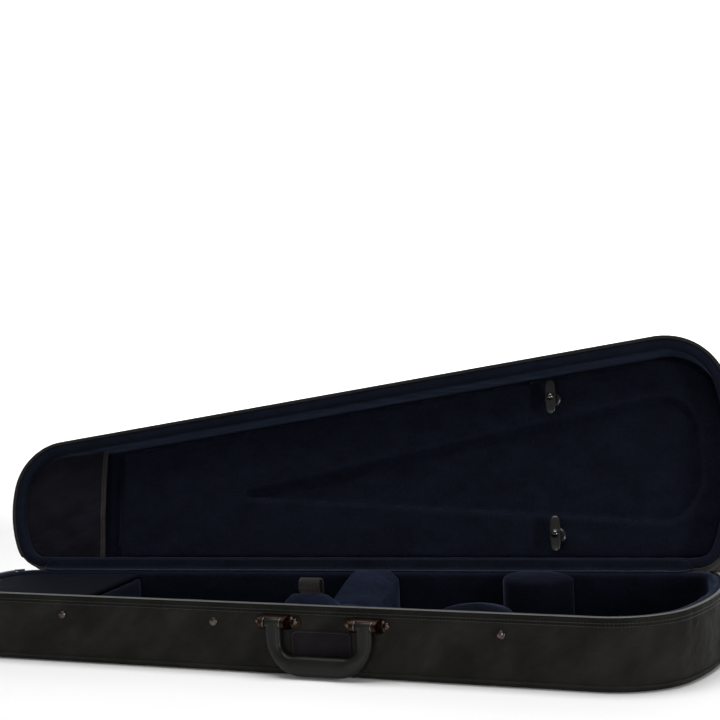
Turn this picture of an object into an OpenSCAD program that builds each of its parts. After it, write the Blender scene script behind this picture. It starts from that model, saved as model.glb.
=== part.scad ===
// Violin case: a tapered, zip-closed foam case, standing open.
// Millimetres, +Z up. The origin is the middle of the base's centre line, on the floor.
// X runs along the hinge, narrow end at -X, wide end at +X. The handle side faces -Y.
// Each half is drawn as a tray with its rim up; the lid is that tray turned over and swung open.

/* [Outline] */
// Length along the centre line
case_l = 790; // [770:5:810]
// Width at the narrow end, measured at the end of the centre line
narrow_w = 131; // [125:1:145]
// Width at the wide end, measured at the end of the centre line
wide_w = 251; // [245:1:265]
// How far the narrow end bulges out
narrow_bulge = 18; // [14:1:22]
// How far the wide end bulges out
wide_bulge = 29; // [24:1:34]
// Corner radius at the narrow end, handle side
narrow_r = 57; // [50:1:60]
// Corner radius at the wide end, handle side
wide_r = 68; // [60:1:72]
// Corner radius at the narrow end, hinge side
narrow_hinge_r = 36; // [34:1:40]
// Corner radius at the wide end, hinge side
wide_hinge_r = 30; // [30:1:40]

/* [Heights] */
// Height of the base up to its rim
base_h = 66; // [64:1:70]
// Height of the lid from its rim to its top
lid_h = 46; // [44:1:52]
// How far the lid is swung open at rest
open_angle = 111; // [95:1:115]

/* [Walls] */
// Thickness of the outer cloth cover
cover_t = 1.5; // [1:0.1:2]
// Thickness of the rigid foam shell
shell_t = 8; // [6:0.5:9]
// Thickness of the plush lining with its backing
lining_t = 2.5; // [2:0.1:3]

/* [Zip] */
// Width of the zip tape stitched round the rim
tape_w = 9; // [7:0.5:11]
// Height of one half of the zip coil
coil_h = 1.85; // [1.5:0.05:1.95]

/* [Handle] */
// Distance between the middles of the handle's two legs
leg_gap = 96; // [92:1:104]
// Width of each leg
leg_w = 16; // [13:0.5:18]
// How far the pivot is below the rim
pivot_drop = 15.5; // [15.5:0.5:18]
// Height of the grip's cross-section
grip_h = 19; // [17:0.5:22]

/* [Fittings] */
// Diameter of a rivet's domed head
rivet_d = 8.5; // [7:0.5:10]
// Length of a bow holder's turning bar
holder_l = 38; // [32:1:42]

/* [Hidden] */
arc_steps = 9;

// Outline, in centre-line coordinates with the origin half-way along
taper = atan((wide_w - narrow_w) / 2 / case_l);
side_dir = [cos(taper), sin(taper)];
side_out = [-sin(taper), cos(taper)];
side_start = [-case_l / 2, narrow_w / 2];
function end_radius(width, bulge) = (pow(width / 2, 2) + bulge * bulge) / (2 * bulge);
narrow_end_r = end_radius(narrow_w, narrow_bulge);
wide_end_r = end_radius(wide_w, wide_bulge);
narrow_end_x = -case_l / 2 + narrow_end_r;
wide_end_x = case_l / 2 - wide_end_r;

// A corner's centre touches one long side and the round end; way is +1 at the wide end
function corner_from(start, reach, way) =
    let (along = start * side_dir)
    -along + way * sqrt(along * along - start * start + reach * reach);
function corner_centre(r, end_r, end_x, way) =
    let (start = side_start - r * side_out)
    start + corner_from(start - [end_x, 0], end_r - r, way) * side_dir;
// Centres are found on the hinge side, and the handle side's are mirrored
wide_corner = corner_centre(wide_hinge_r, wide_end_r, wide_end_x, 1);
narrow_corner = corner_centre(narrow_hinge_r, narrow_end_r, narrow_end_x, -1);
wide_handle_corner = mirrored(corner_centre(wide_r, wide_end_r, wide_end_x, 1));
narrow_handle_corner = mirrored(corner_centre(narrow_r, narrow_end_r, narrow_end_x, -1));
function mirrored(p) = [p[0], -p[1]];
// The angle at which a round end meets a corner
function turn(corner, end_x) = atan2(corner[1], corner[0] - end_x);
wide_turn = turn(wide_corner, wide_end_x);
narrow_turn = turn(narrow_corner, narrow_end_x);
wide_handle_turn = turn(wide_handle_corner, wide_end_x);
narrow_handle_turn = turn(narrow_handle_corner, narrow_end_x) + 360;

function arc(centre, r, from, to, first = 0, last = arc_steps) =
    [for (i = [first:last])
        let (a = from + (to - from) * i / arc_steps)
        centre + r * [cos(a), sin(a)]];
// Points of the outline, moved inwards by inset (outwards when it is negative)
function outline(inset) = concat(
    arc([wide_end_x, 0], wide_end_r - inset, wide_handle_turn, wide_turn, 1, arc_steps - 1),
    arc(wide_corner, wide_hinge_r - inset, wide_turn, 90 + taper),
    arc(narrow_corner, narrow_hinge_r - inset, 90 + taper, narrow_turn),
    arc([narrow_end_x, 0], narrow_end_r - inset, narrow_turn, narrow_handle_turn, 1, arc_steps - 1),
    arc(narrow_handle_corner, narrow_r - inset, narrow_handle_turn, 270 - taper),
    arc(wide_handle_corner, wide_r - inset, 270 - taper, 360 + wide_handle_turn));

// Where things are
mid_w = (narrow_w + wide_w) / 2;
side_y = mid_w / 2 * cos(taper);
hinge_y = side_y;
rim_gap = 4;
hinge_z = base_h + rim_gap / 2;
wall = cover_t + shell_t + lining_t;
floor_z = wall;
rim_pad = 2;
seam_h = 4;
bead = 1;
tape_t = 0.9;
coil_w = 2.6;
zip_end_y = hinge_y - 12;
zip_stop_l = 4;
stop_gap = 0.2;
strip_t = 0.8;
strip_drop = 12;
inner_strip_t = 1.2;
clear = 0.3;
span = 2 * case_l;

// Base fittings, along the centre line
divider_x = -235;
divider_t = 6;
neck_s = 24.5;
neck_block_l = [57, 38];
neck_shoulder = 11;
neck_front_z = base_h + 9;
neck_back_z = base_h + 5;
neck_block_step = 3;
neck_gap = 40;
neck_rest_z = base_h - 22;
neck_wall_y = side_y / cos(taper) - wall + neck_s * tan(taper);
neck_ridge_y = neck_wall_y - 7.5;
neck_slope = atan((neck_front_z - neck_rest_z) / (neck_ridge_y - neck_gap / 2));
waist_s = 195;
waist_r = 38;
waist_z = base_h + 5.5;
waist_dome = 9.5;
waist_steps = 6;
strap_w = 21;
strap_t = 1.6;
strap_loop_h = 13.5;
strap_loop_r = 6;
strap_y = neck_ridge_y + 1 - strap_loop_r;
anchor_size = [17, 8];
anchor_y = [strap_y, strap_y - strap_loop_r - anchor_size[1] / 2 - 1];
anchor_t = 0.8;

// Accessory compartment lid
flap_t = 4;
flap_z = base_h - 2 - flap_t;
flap_gap = 1.5;
plush_t = 1.6;

// Lid fittings, along the centre line
panel_inset = wall + 1.5;
panel_t = 8;
recess_tip = -130;
recess_end = 308;
recess_half_w = 63;
recess_r = 42;
recess_turn = 80;
pocket_s = -292;
pocket_t = 1.6;
pocket_z = floor_z + 14;
pocket_inset = wall + 0.5;
pocket_mouth = 12;
binding_w = 5;
binding_t = 0.8;
holder_s = 205;
holder_y = [72, -72];
holder_base_r = 9;
holder_base_h = 3;
holder_post_r = 3.5;
holder_bore = 0.08;
holder_rise = 11;
holder_bar_t = 3.5;
holder_bar_w = 11;
screw_r = 1.6;
screw_head_r = 3;
screw_head_h = 1.2;

// Handle fittings, along the handle side
handle_x = 53;
pivot_z = base_h - pivot_drop;
pivot_out = 8;
pivot_r = 5;
pivot_play = 0.08;
lug_l = 6;
leg_t = 10;
grip_out = 10.2;
grip_t = 13.5;
grip_low = 1.5;
grip_l = 56;
outer_bend_r = 37;
inner_bend_r = 12;
bridge_t = 1.3;
bridge_foot_r = 6;
bridge_web_h = 6;
lug_x = leg_w / 2 + lug_l;
bridge_rivet_x = lug_x + 2.6;
bridge_slot = leg_w + 1.2;
bridge_rivet_d = 6.5;
rivet_x = [-240, -65, 234];
rivet_z = base_h - 18.5;
badge_size = [64, 29];
badge_x = handle_x - 2;
badge_z = 29;
badge_t = 0.8;

// Zip sliders and pulls
slider_l = 11;
slider_h = 7;
slider_t = 3.4;
slider_z = base_h - slider_h / 2 + 1;
pull_l = 24;
pull_w = 6;
pull_t = 1.6;
pull_pin_r = 0.9;
pull_neck = [2, 5];
pin_out = 1.6;
eye = 3.6;
eye_slot = 2.4;
narrow_slider_turn = narrow_turn + 5;
wide_slider_turn = wide_turn - 2;

// Colours
cloth = [0.06, 0.06, 0.06];
plush = [0.03, 0.04, 0.13];
foam = [0.85, 0.85, 0.82];
tape_col = [0.09, 0.09, 0.09];
metal = [0.75, 0.74, 0.7];
gloss = [0.03, 0.03, 0.03];
pocket_col = [0.08, 0.07, 0.07];

// ---- Helpers

// A flat layer of the outline
module slab(inset, z, t) {
    translate([0, 0, z])
        rotate([0, 0, -taper])
            linear_extrude(t)
                polygon(outline(inset));
}

// A wall following the outline, between two insets
module band(outer, inner, z, h) {
    difference() {
        slab(outer, z, h);
        slab(inner, z - 1, h + 2);
    }
}

// The same wall without the straight hinge side, where there is no zip
module zip_band(outer, inner, z, h) {
    difference() {
        band(outer, inner, z, h);
        translate([-span / 2, zip_end_y, z - 1])
            cube([span, span, h + 2]);
    }
}

// Draw with x along the centre line
module on_centre_line() {
    rotate([0, 0, -taper])
        children();
}

// Draw on the handle side: x along it, -y away from it, z up
module on_handle_side() {
    rotate([0, 0, -2 * taper])
        translate([0, -side_y, 0])
            children();
}

// Draw on a round end: x outwards, y along the rim
module on_end(end_x, end_r, angle) {
    on_centre_line()
        translate([end_x, 0, 0])
            rotate([0, 0, angle])
                translate([end_r + tape_t, 0, 0])
                    children();
}

// Put a tray drawn rim up in the lid's place, swung open
module in_lid() {
    translate([0, hinge_y, hinge_z])
        rotate([-open_angle, 0, 0])
            translate([0, -hinge_y, rim_gap / 2 + lid_h])
                mirror([0, 0, 1])
                    children();
}

// A domed rivet with its axis along -y, head outside
module rivet(d, shank_l) {
    shank_r = d / 4;
    head_h = d * 0.32;
    dome_r = (d * d / 4 + head_h * head_h) / (2 * head_h);
    rotate([90, 0, 0]) {
        translate([0, 0, -shank_l])
            cylinder(r = shank_r, h = shank_l + head_h / 2, $fn = 32);
        intersection() {
            translate([0, 0, head_h - dome_r])
                sphere(r = dome_r, $fn = 48);
            cylinder(d = d, h = head_h, $fn = 48);
        }
    }
}

// ---- One tray: cover, shell, lining, zip

module tray_panel() {
    color(cloth)
        slab(0, 0, cover_t);
}

module tray_cover(h) {
    color(cloth)
        band(0, cover_t, cover_t, h - cover_t);
}

module tray_piping() {
    color(cloth)
        band(-bead, 0, seam_h, bead * 2);
}

module tray_shell_floor() {
    color(foam)
        slab(cover_t, cover_t, shell_t);
}

module tray_shell_wall(h) {
    color(foam)
        band(cover_t, cover_t + shell_t, cover_t + shell_t, h - rim_pad - cover_t - shell_t);
}

module tray_lining(h) {
    color(plush)
        difference() {
            union() {
                slab(cover_t + shell_t, cover_t + shell_t, h - cover_t - shell_t);
                slab(cover_t, h - rim_pad, rim_pad);
            }
            slab(wall, floor_z, h);
        }
}

module tray_zip_tape(h) {
    color(tape_col)
        zip_band(-tape_t, 0, h - tape_w, tape_w);
}

module tray_zip_coil(h) {
    color(tape_col)
        zip_band(-tape_t, coil_w, h, coil_h);
}

// ---- Base

module base_bottom_panel() tray_panel();
module base_cover() tray_cover(base_h);
module base_piping() tray_piping();
module base_shell_floor() tray_shell_floor();
module base_shell_wall() tray_shell_wall(base_h);
module base_lining() tray_lining(base_h);
module base_zip_tape() tray_zip_tape(base_h);
module base_zip_coil() tray_zip_coil(base_h);

// A moulded stop closes each end of the base's zip coil, just behind where the coil ends
module zip_stops() {
    color(metal)
        for (end = [-1, 1])
            intersection() {
                band(-tape_t, coil_w, base_h, coil_h);
                translate([end * case_l / 4 - case_l / 4, zip_end_y + stop_gap, base_h - 1])
                    cube([case_l / 2, zip_stop_l, rim_gap]);
            }
}

// Ends of the hinge side's straight part, a little short of the corners
hinge_x = [
    narrow_corner[0] * cos(taper) + narrow_corner[1] * sin(taper) + 2,
    wide_corner[0] * cos(taper) + wide_corner[1] * sin(taper) - 2];

module hinge_cover_strip() {
    color(cloth)
        translate([hinge_x[0], hinge_y, base_h - strip_drop])
            cube([hinge_x[1] - hinge_x[0], strip_t, strip_drop]);
}

module hinge_plush_strip() {
    color(plush)
        translate([hinge_x[0], hinge_y - wall + 1, base_h])
            cube([hinge_x[1] - hinge_x[0], wall - 3, inner_strip_t]);
}

// A neck block half seen along the centre line, as [distance from the line, height]
function neck_section(top) = [
    [0, floor_z],
    [0, neck_rest_z],
    [neck_gap / 2, neck_rest_z],
    [neck_ridge_y, top],
    [neck_wall_y + 2, base_h - 2],
    [neck_wall_y + 2, floor_z]];

module neck_prism(way, top) {
    translate([neck_s - case_l / 2, 0, 0])
        rotate([90, 0, 90])
            linear_extrude(case_l)
                polygon([for (p = neck_section(top)) [way * p[0], p[1]]]);
}

// The wall's full height of room for a pad, and a narrower room above the rim
module pad_room(top) {
    slab(wall, floor_z, base_h - floor_z);
    slab(wall + neck_block_step, floor_z, top - floor_z);
}

// One half of the block that carries the neck; way is -1 at the handle side
module neck_block_half(way, top) {
    low = neck_block_l[0] / 2;
    high = neck_block_l[1] / 2;
    color(plush)
        intersection() {
            union()
                pad_room(top);
            on_centre_line()
                intersection() {
                    rotate([90, 0, 0])
                        linear_extrude(mid_w, center = true)
                            polygon([
                                [neck_s - low, floor_z], [neck_s + low, floor_z],
                                [neck_s + low, top - neck_shoulder], [neck_s + high, top],
                                [neck_s - high, top], [neck_s - low, top - neck_shoulder]]);
                    neck_prism(way, top);
                }
        }
}

module neck_block_front() neck_block_half(-1, neck_front_z);
module neck_block_back() neck_block_half(1, neck_back_z);

// A round pad with a low dome, half in the wall at the waist; way is -1 at the handle side
module waist_pad(way) {
    pad_y = way * (side_y / cos(taper) - wall + waist_s * tan(taper));
    dome = [
        for (i = [0:waist_steps])
            let (a = 90 * i / waist_steps)
            [waist_r * cos(a), waist_z - waist_dome * (1 - sin(a))]];
    color(plush)
        intersection() {
            union()
                pad_room(waist_z);
            on_centre_line()
                translate([waist_s, pad_y, 0])
                    rotate_extrude($fn = 64)
                        polygon(concat([[0, floor_z], [waist_r, floor_z]], dome));
        }
}

module front_waist_pad() waist_pad(-1);
module back_waist_pad() waist_pad(1);

module compartment_divider() {
    color(plush)
        intersection() {
            slab(wall, floor_z, flap_z - clear - floor_z);
            translate([divider_x, -mid_w, 0])
                cube([divider_t, 2 * mid_w, base_h]);
        }
}

// The side view of a strap standing as a loop, its feet far below
module strap_arch(r) {
    circle(r = r, $fn = 64);
    translate([-r, -2 * strap_loop_h])
        square([2 * r, 2 * strap_loop_h]);
}

// A woven loop standing on the handle side's half of the neck block
module neck_strap() {
    color(pocket_col)
        on_centre_line()
            difference() {
                translate([neck_s - strap_w / 2, -strap_y, neck_front_z + strap_loop_h - strap_loop_r])
                    rotate([90, 0, 90])
                        linear_extrude(strap_w)
                            difference() {
                                strap_arch(strap_loop_r);
                                strap_arch(strap_loop_r - strap_t);
                            }
                neck_prism(-1, neck_front_z);
            }
}

// Small stitched squares that hold the loop's two feet, lying on the block's slope
module strap_anchors() {
    color(pocket_col)
        on_centre_line()
            for (y = anchor_y)
                translate([neck_s, -y, neck_front_z - (neck_ridge_y - y) * tan(neck_slope)])
                    rotate([-neck_slope, 0, 0])
                        translate([-anchor_size[0] / 2, -anchor_size[1] / 2, 0])
                            cube([anchor_size[0], anchor_size[1], anchor_t]);
}

module cover_rivets() {
    color(metal)
        on_handle_side()
            for (x = rivet_x)
                translate([x, 0, rivet_z])
                    rivet(rivet_d, cover_t);
}

// ---- Handle and its bridges

// The half tunnel over a lug, as a full tube cut down by its users
module bridge_tube(l) {
    rotate([0, 90, 0])
        difference() {
            cylinder(r = pivot_r + bridge_t, h = l, center = true, $fn = 64);
            cylinder(r = pivot_r + pivot_play, h = l + 2, center = true, $fn = 64);
        }
}

module handle_bridge(way) {
    reach = pivot_r + bridge_t + 1;
    color(metal)
        on_handle_side()
            translate([handle_x + way * leg_gap / 2, 0, pivot_z]) {
                translate([0, -pivot_out, 0])
                    difference() {
                        bridge_tube(2 * lug_x);
                        // open below and at the front where the leg swings
                        translate([-bridge_slot / 2, -reach, -reach])
                            cube([bridge_slot, 2 * reach, reach]);
                        translate([-bridge_slot / 2, -reach, -0.1])
                            cube([bridge_slot, reach - 0.9, 2 * reach]);
                        // open at the wall side, below the strap
                        translate([-lug_x - 1, 0, -reach])
                            cube([2 * lug_x + 2, reach, reach]);
                    }
                for (end = [-1, 1])
                    translate([end * bridge_rivet_x, 0, 0])
                        bridge_foot(end);
            }
}

// A foot lies flat on the cover and stands up to close the tunnel's end
module bridge_foot(end) {
    rotate([90, 0, 0])
        cylinder(r = bridge_foot_r, h = bridge_t, $fn = 48);
    difference() {
        translate([end * (lug_x + bridge_t / 2 - bridge_rivet_x) - bridge_t / 2, -pivot_out, 0])
            rotate([0, 90, 0])
                cylinder(r = pivot_r + bridge_t, h = bridge_t, $fn = 64);
        translate([-span / 2, 0, -span / 2])
            cube(span);
    }
    translate([end * (lug_x + bridge_t / 2 - bridge_rivet_x) - bridge_t / 2, -pivot_out, -bridge_web_h / 2])
        cube([bridge_t, pivot_out, bridge_web_h]);
}

module left_handle_bridge() handle_bridge(-1);
module right_handle_bridge() handle_bridge(1);

module bridge_rivets() {
    color(metal)
        on_handle_side()
            for (way = [-1, 1], end = [-1, 1])
                translate([handle_x + way * leg_gap / 2 + end * (bridge_rivet_x + 3), -bridge_t, pivot_z])
                    rivet(bridge_rivet_d, bridge_t + cover_t);
}

// A U seen from the front: x along the handle side, y up, open at the top
module u_shape(w, low, r, top) {
    polygon(concat(
        [[-w / 2, top]],
        arc([r - w / 2, low + r], r, 180, 270),
        arc([w / 2 - r, low + r], r, 270, 360),
        [[w / 2, top]]));
}

module handle_outline() {
    difference() {
        u_shape(leg_gap + leg_w, grip_low, outer_bend_r, pivot_z);
        u_shape(leg_gap - leg_w, grip_low + grip_h, inner_bend_r, pivot_z + 1);
    }
}

// Stand a flat shape up, with a thickness, at a distance in front of the cover
module standing(out, t) {
    translate([0, -out, 0])
        rotate([90, 0, 0])
            linear_extrude(t, center = true)
                children();
}

// The moulded handle: two legs hung on lugs, bending into a deeper and thicker grip
module handle() {
    color(gloss)
        on_handle_side()
            translate([handle_x, 0, 0]) {
                for (way = [-1, 1])
                    translate([way * leg_gap / 2, -pivot_out, pivot_z])
                        rotate([0, 90, 0])
                            cylinder(r = pivot_r, h = leg_w + 2 * lug_l - clear, center = true, $fn = 64);
                standing(pivot_out, leg_t)
                    handle_outline();
                standing(grip_out, grip_t)
                    intersection() {
                        handle_outline();
                        translate([-grip_l / 2, 0])
                            square([grip_l, grip_low + grip_h]);
                    }
            }
}

module badge_patch() {
    color(pocket_col)
        on_handle_side()
            translate([badge_x - badge_size[0] / 2, -badge_t, badge_z - badge_size[1] / 2])
                cube([badge_size[0], badge_t, badge_size[1]]);
}

// ---- Zip sliders, parked at the two ends of the zip

module zip_slider(end_x, end_r, angle) {
    color(metal)
        on_end(end_x, end_r, angle)
            difference() {
                union() {
                    translate([0, -slider_l / 2, slider_z - slider_h / 2])
                        cube([slider_t, slider_l, slider_h - 1.5]);
                    translate([slider_t, -slider_l / 4, slider_z - eye / 2])
                        cube([2 * pin_out, slider_l / 2, eye]);
                }
                translate([slider_t + pin_out, 0, slider_z])
                    rotate([90, 0, 0])
                        cylinder(r = pull_pin_r + pivot_play, h = slider_l, center = true, $fn = 32);
                translate([slider_t, -eye_slot / 2, slider_z - eye])
                    cube([2 * eye, eye_slot, 2 * eye]);
            }
}

// A flat pull hanging from the slider's pin
module zip_pull(end_x, end_r, angle) {
    color(metal)
        on_end(end_x, end_r, angle)
            translate([slider_t + pin_out, 0, slider_z]) {
                rotate([90, 0, 0])
                    cylinder(r = pull_pin_r, h = slider_l / 2 + pin_out, center = true, $fn = 32);
                translate([-pull_t / 2, -pull_neck[0] / 2, -pull_neck[1]])
                    cube([pull_t, pull_neck[0], pull_neck[1]]);
                translate([-pull_t / 2, -pull_w / 2, -pull_l])
                    cube([pull_t, pull_w, pull_l - pull_neck[1] + 0.6]);
            }
}

module narrow_zip_slider() zip_slider(narrow_end_x, narrow_end_r, narrow_slider_turn);
module wide_zip_slider() zip_slider(wide_end_x, wide_end_r, wide_slider_turn);
module narrow_zip_pull() zip_pull(narrow_end_x, narrow_end_r, narrow_slider_turn);
module wide_zip_pull() zip_pull(wide_end_x, wide_end_r, wide_slider_turn);

// ---- Accessory compartment flap, hinged along the top of the divider

module flap_shape(z, t) {
    intersection() {
        slab(wall + flap_gap, z, t);
        translate([-case_l, -mid_w, 0])
            cube([case_l + divider_x + divider_t, 2 * mid_w, 2 * base_h]);
    }
}

module flap_board() {
    color(foam)
        flap_shape(flap_z, flap_t - plush_t);
}

module flap_plush() {
    color(plush)
        flap_shape(flap_z + flap_t - plush_t, plush_t);
}

// ---- Lid

module lid_top_panel() in_lid() tray_panel();
module lid_cover() in_lid() tray_cover(lid_h);
module lid_piping() in_lid() tray_piping();
module lid_shell_top() in_lid() tray_shell_floor();
module lid_shell_wall() in_lid() tray_shell_wall(lid_h);
module lid_lining() in_lid() tray_lining(lid_h);
module lid_zip_tape() in_lid() tray_zip_tape(lid_h);
module lid_zip_coil() in_lid() tray_zip_coil(lid_h);

// The recess over the strings: a long wedge with a rounded wide end
function recess_corner(way, from, to) = [
    for (i = [0:arc_steps])
        let (a = from + (to - from) * i / arc_steps)
        [recess_end + recess_r * cos(a), way * (recess_half_w - recess_r) + recess_r * sin(a)]];
recess_points = concat(
    [[recess_tip, 0]],
    recess_corner(-1, -recess_turn, 0),
    recess_corner(1, 0, recess_turn));

module lid_recess_panel() {
    color(plush)
        in_lid()
            difference() {
                slab(panel_inset, floor_z, panel_t);
                on_centre_line()
                    translate([0, 0, floor_z - 1])
                        linear_extrude(panel_t + 2)
                            polygon(recess_points);
                on_centre_line()
                    translate([pocket_s + pocket_mouth - case_l, -mid_w, 0])
                        cube([case_l, 2 * mid_w, 2 * lid_h]);
            }
}

module pocket_shape(z, t, from) {
    intersection() {
        slab(pocket_inset, z, t);
        on_centre_line()
            translate([from, -mid_w, 0])
                cube([pocket_s - from, 2 * mid_w, 2 * lid_h]);
    }
}

module lid_pocket() {
    color(pocket_col)
        in_lid()
            pocket_shape(pocket_z, pocket_t, -case_l);
}

module pocket_binding() {
    color(pocket_col)
        in_lid()
            pocket_shape(pocket_z + pocket_t, binding_t, pocket_s - binding_w);
}

// ---- Bow holders

module at_holder(i) {
    in_lid()
        on_centre_line()
            translate([holder_s, holder_y[i], floor_z + panel_t])
                children();
}

module holder_bases() {
    color(gloss)
        for (i = [0, 1])
            at_holder(i) {
                difference() {
                    cylinder(r = holder_base_r, h = holder_base_h, $fn = 48);
                    translate([0, 0, -1])
                        cylinder(r = screw_r, h = holder_base_h + 2, $fn = 32);
                }
            }
}

// A turning bar on a post; way tells the two holders apart
module bow_holder(i) {
    color(gloss)
        at_holder(i)
            difference() {
                union() {
                    translate([0, 0, holder_base_h + clear])
                        cylinder(r = holder_post_r, h = holder_rise, $fn = 48);
                    translate([0, 0, holder_base_h + clear + holder_rise - holder_bar_t / 2])
                        cube([holder_bar_w, holder_l, holder_bar_t], center = true);
                }
                translate([0, 0, -1])
                    cylinder(r = screw_r + holder_bore, h = 2 * holder_rise, $fn = 32);
            }
}

module upper_bow_holder() bow_holder(1);
module lower_bow_holder() bow_holder(0);

module holder_screws() {
    top = holder_base_h + holder_rise + 2 * clear;
    color(metal)
        for (i = [0, 1])
            at_holder(i) {
                cylinder(r = screw_r, h = top, $fn = 32);
                translate([0, 0, top])
                    cylinder(r = screw_head_r, h = screw_head_h, $fn = 32);
            }
}

// ---- The part

base_bottom_panel();
base_cover();
base_piping();
base_shell_floor();
base_shell_wall();
base_lining();
base_zip_tape();
base_zip_coil();
zip_stops();
hinge_cover_strip();
hinge_plush_strip();
neck_block_front();
neck_block_back();
front_waist_pad();
back_waist_pad();
compartment_divider();
neck_strap();
strap_anchors();
cover_rivets();
left_handle_bridge();
right_handle_bridge();
bridge_rivets();
badge_patch();
narrow_zip_slider();
wide_zip_slider();
narrow_zip_pull();
wide_zip_pull();
handle();
flap_board();
flap_plush();
lid_top_panel();
lid_cover();
lid_piping();
lid_shell_top();
lid_shell_wall();
lid_lining();
lid_zip_tape();
lid_zip_coil();
lid_recess_panel();
lid_pocket();
pocket_binding();
holder_bases();
upper_bow_holder();
lower_bow_holder();
holder_screws();
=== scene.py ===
"""Violin case, standing open: the looks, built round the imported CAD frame. Metres, +Z up."""

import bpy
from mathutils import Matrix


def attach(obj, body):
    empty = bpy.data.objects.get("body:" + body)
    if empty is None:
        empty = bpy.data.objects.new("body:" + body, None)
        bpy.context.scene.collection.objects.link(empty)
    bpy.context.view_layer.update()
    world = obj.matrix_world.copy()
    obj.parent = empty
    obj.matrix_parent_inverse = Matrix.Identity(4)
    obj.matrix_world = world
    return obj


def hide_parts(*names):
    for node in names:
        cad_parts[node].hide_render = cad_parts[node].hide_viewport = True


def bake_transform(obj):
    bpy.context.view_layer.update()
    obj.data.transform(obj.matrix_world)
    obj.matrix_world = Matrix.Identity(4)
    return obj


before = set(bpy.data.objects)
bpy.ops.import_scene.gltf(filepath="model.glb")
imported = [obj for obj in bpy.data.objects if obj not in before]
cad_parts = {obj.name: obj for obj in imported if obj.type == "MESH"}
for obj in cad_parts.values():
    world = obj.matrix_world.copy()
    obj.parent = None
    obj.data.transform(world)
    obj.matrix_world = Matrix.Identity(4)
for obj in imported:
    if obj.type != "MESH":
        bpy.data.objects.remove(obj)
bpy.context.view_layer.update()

import math

import bpy
import numpy as np
from mathutils import Matrix, Vector

MM = 0.001
TAU = 2 * math.pi

# ---- Sizes, as in part.scad

# the case
CASE_L = 790 * MM
NARROW_W = 131 * MM
WIDE_W = 251 * MM
NARROW_BULGE = 18 * MM
WIDE_BULGE = 29 * MM
NARROW_R = 57 * MM
WIDE_R = 68 * MM
NARROW_HINGE_R = 36 * MM
WIDE_HINGE_R = 30 * MM
BASE_H = 66 * MM
LID_H = 46 * MM
OPEN_ANGLE = math.radians(111)
COVER_T = 1.5 * MM
SHELL_T = 8 * MM
WALL = 12 * MM
TAPE_W = 9 * MM
RIM_GAP = 4 * MM
RIM_PAD = 2 * MM
SEAM_H = 4 * MM
TAPER = math.atan((WIDE_W - NARROW_W) / 2 / CASE_L)
MID_W = (NARROW_W + WIDE_W) / 2
SIDE_Y = MID_W / 2 * math.cos(TAPER)
HINGE_Y = SIDE_Y
HINGE_Z = BASE_H + RIM_GAP / 2
ZIP_END_Y = HINGE_Y - 12 * MM

# the padded blocks, the neck strap and the accessory compartment
NECK_S = 24.5 * MM
NECK_BLOCK_LOW = 57 * MM
NECK_BLOCK_HIGH = 38 * MM
NECK_SHOULDER = 11 * MM
NECK_FRONT_Z = BASE_H + 9 * MM
NECK_BACK_Z = BASE_H + 5 * MM
NECK_GAP = 40 * MM
NECK_REST_Z = BASE_H - 22 * MM
NECK_WALL_Y = SIDE_Y / math.cos(TAPER) - WALL + NECK_S * math.tan(TAPER)
NECK_RIDGE_Y = NECK_WALL_Y - 7.5 * MM
NECK_SLOPE = math.atan((NECK_FRONT_Z - NECK_REST_Z) / (NECK_RIDGE_Y - NECK_GAP / 2))
WAIST_S = 195 * MM
WAIST_PAD_R = 38 * MM
WAIST_Z = BASE_H + 5.5 * MM
WAIST_DOME = 9.5 * MM
STRAP_W = 21 * MM
STRAP_T = 1.6 * MM
STRAP_LOOP_H = 13.5 * MM
STRAP_LOOP_R = 6 * MM
STRAP_Y = NECK_RIDGE_Y + 1 * MM - STRAP_LOOP_R
TAB_L = 8 * MM
TAB_Y = (STRAP_Y, STRAP_Y - STRAP_LOOP_R - TAB_L / 2 - 1 * MM)
DIVIDER_X = -235 * MM
DIVIDER_T = 6 * MM
FLAP_T = 4 * MM
FLAP_TOP = BASE_H - 2 * MM

# the lid's pad with its recess, the pocket and the bow holders
PANEL_INSET = WALL + 1.5 * MM
PANEL_T = 8 * MM
RECESS_TIP = -130 * MM
RECESS_END = 308 * MM
RECESS_HALF_W = 63 * MM
RECESS_R = 42 * MM
POCKET_S = -292 * MM
POCKET_Z = WALL + 16 * MM
HOLDER_S = 205 * MM
HOLDER_Y = 72 * MM
HOLDER_L = 38 * MM
HOLDER_BASE_R = 9 * MM
HOLDER_BASE_H = 3 * MM
HOLDER_POST_R = 3.5 * MM
HOLDER_RISE = 11 * MM
HOLDER_BAR_T = 3.5 * MM
HOLDER_BAR_W = 11 * MM
SCREW_HEAD_R = 3 * MM
SCREW_HEAD_H = 1.2 * MM
CLEAR = 0.3 * MM

# the handle, its bridges, the rivets and the patch
HANDLE_X = 53 * MM
LEG_GAP = 96 * MM
LEG_W = 16 * MM
LEG_T = 10 * MM
PIVOT_Z = BASE_H - 15.5 * MM
PIVOT_OUT = 8 * MM
PIVOT_R = 5 * MM
LUG_X = LEG_W / 2 + 6 * MM
GRIP_H = 19 * MM
GRIP_T = 13.5 * MM
GRIP_OUT = 10.2 * MM
GRIP_LOW = 1.5 * MM
OUTER_BEND_R = 37 * MM
INNER_BEND_R = 12 * MM
RIVET_X = (-240 * MM, -65 * MM, 234 * MM)
RIVET_Z = BASE_H - 18.5 * MM
RIVET_D = 8.5 * MM
BRIDGE_RIVET_D = 6.5 * MM
BRIDGE_RIVET_X = LUG_X + 5.6 * MM
BRIDGE_T = 1.3 * MM
BADGE_X = HANDLE_X - 2 * MM
BADGE_Z = 29 * MM
BADGE_W = 64 * MM
BADGE_H = 29 * MM
BADGE_T = 0.8 * MM

# the zip
SLIDER_Z = BASE_H - 2.5 * MM

# ---- Places

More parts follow.
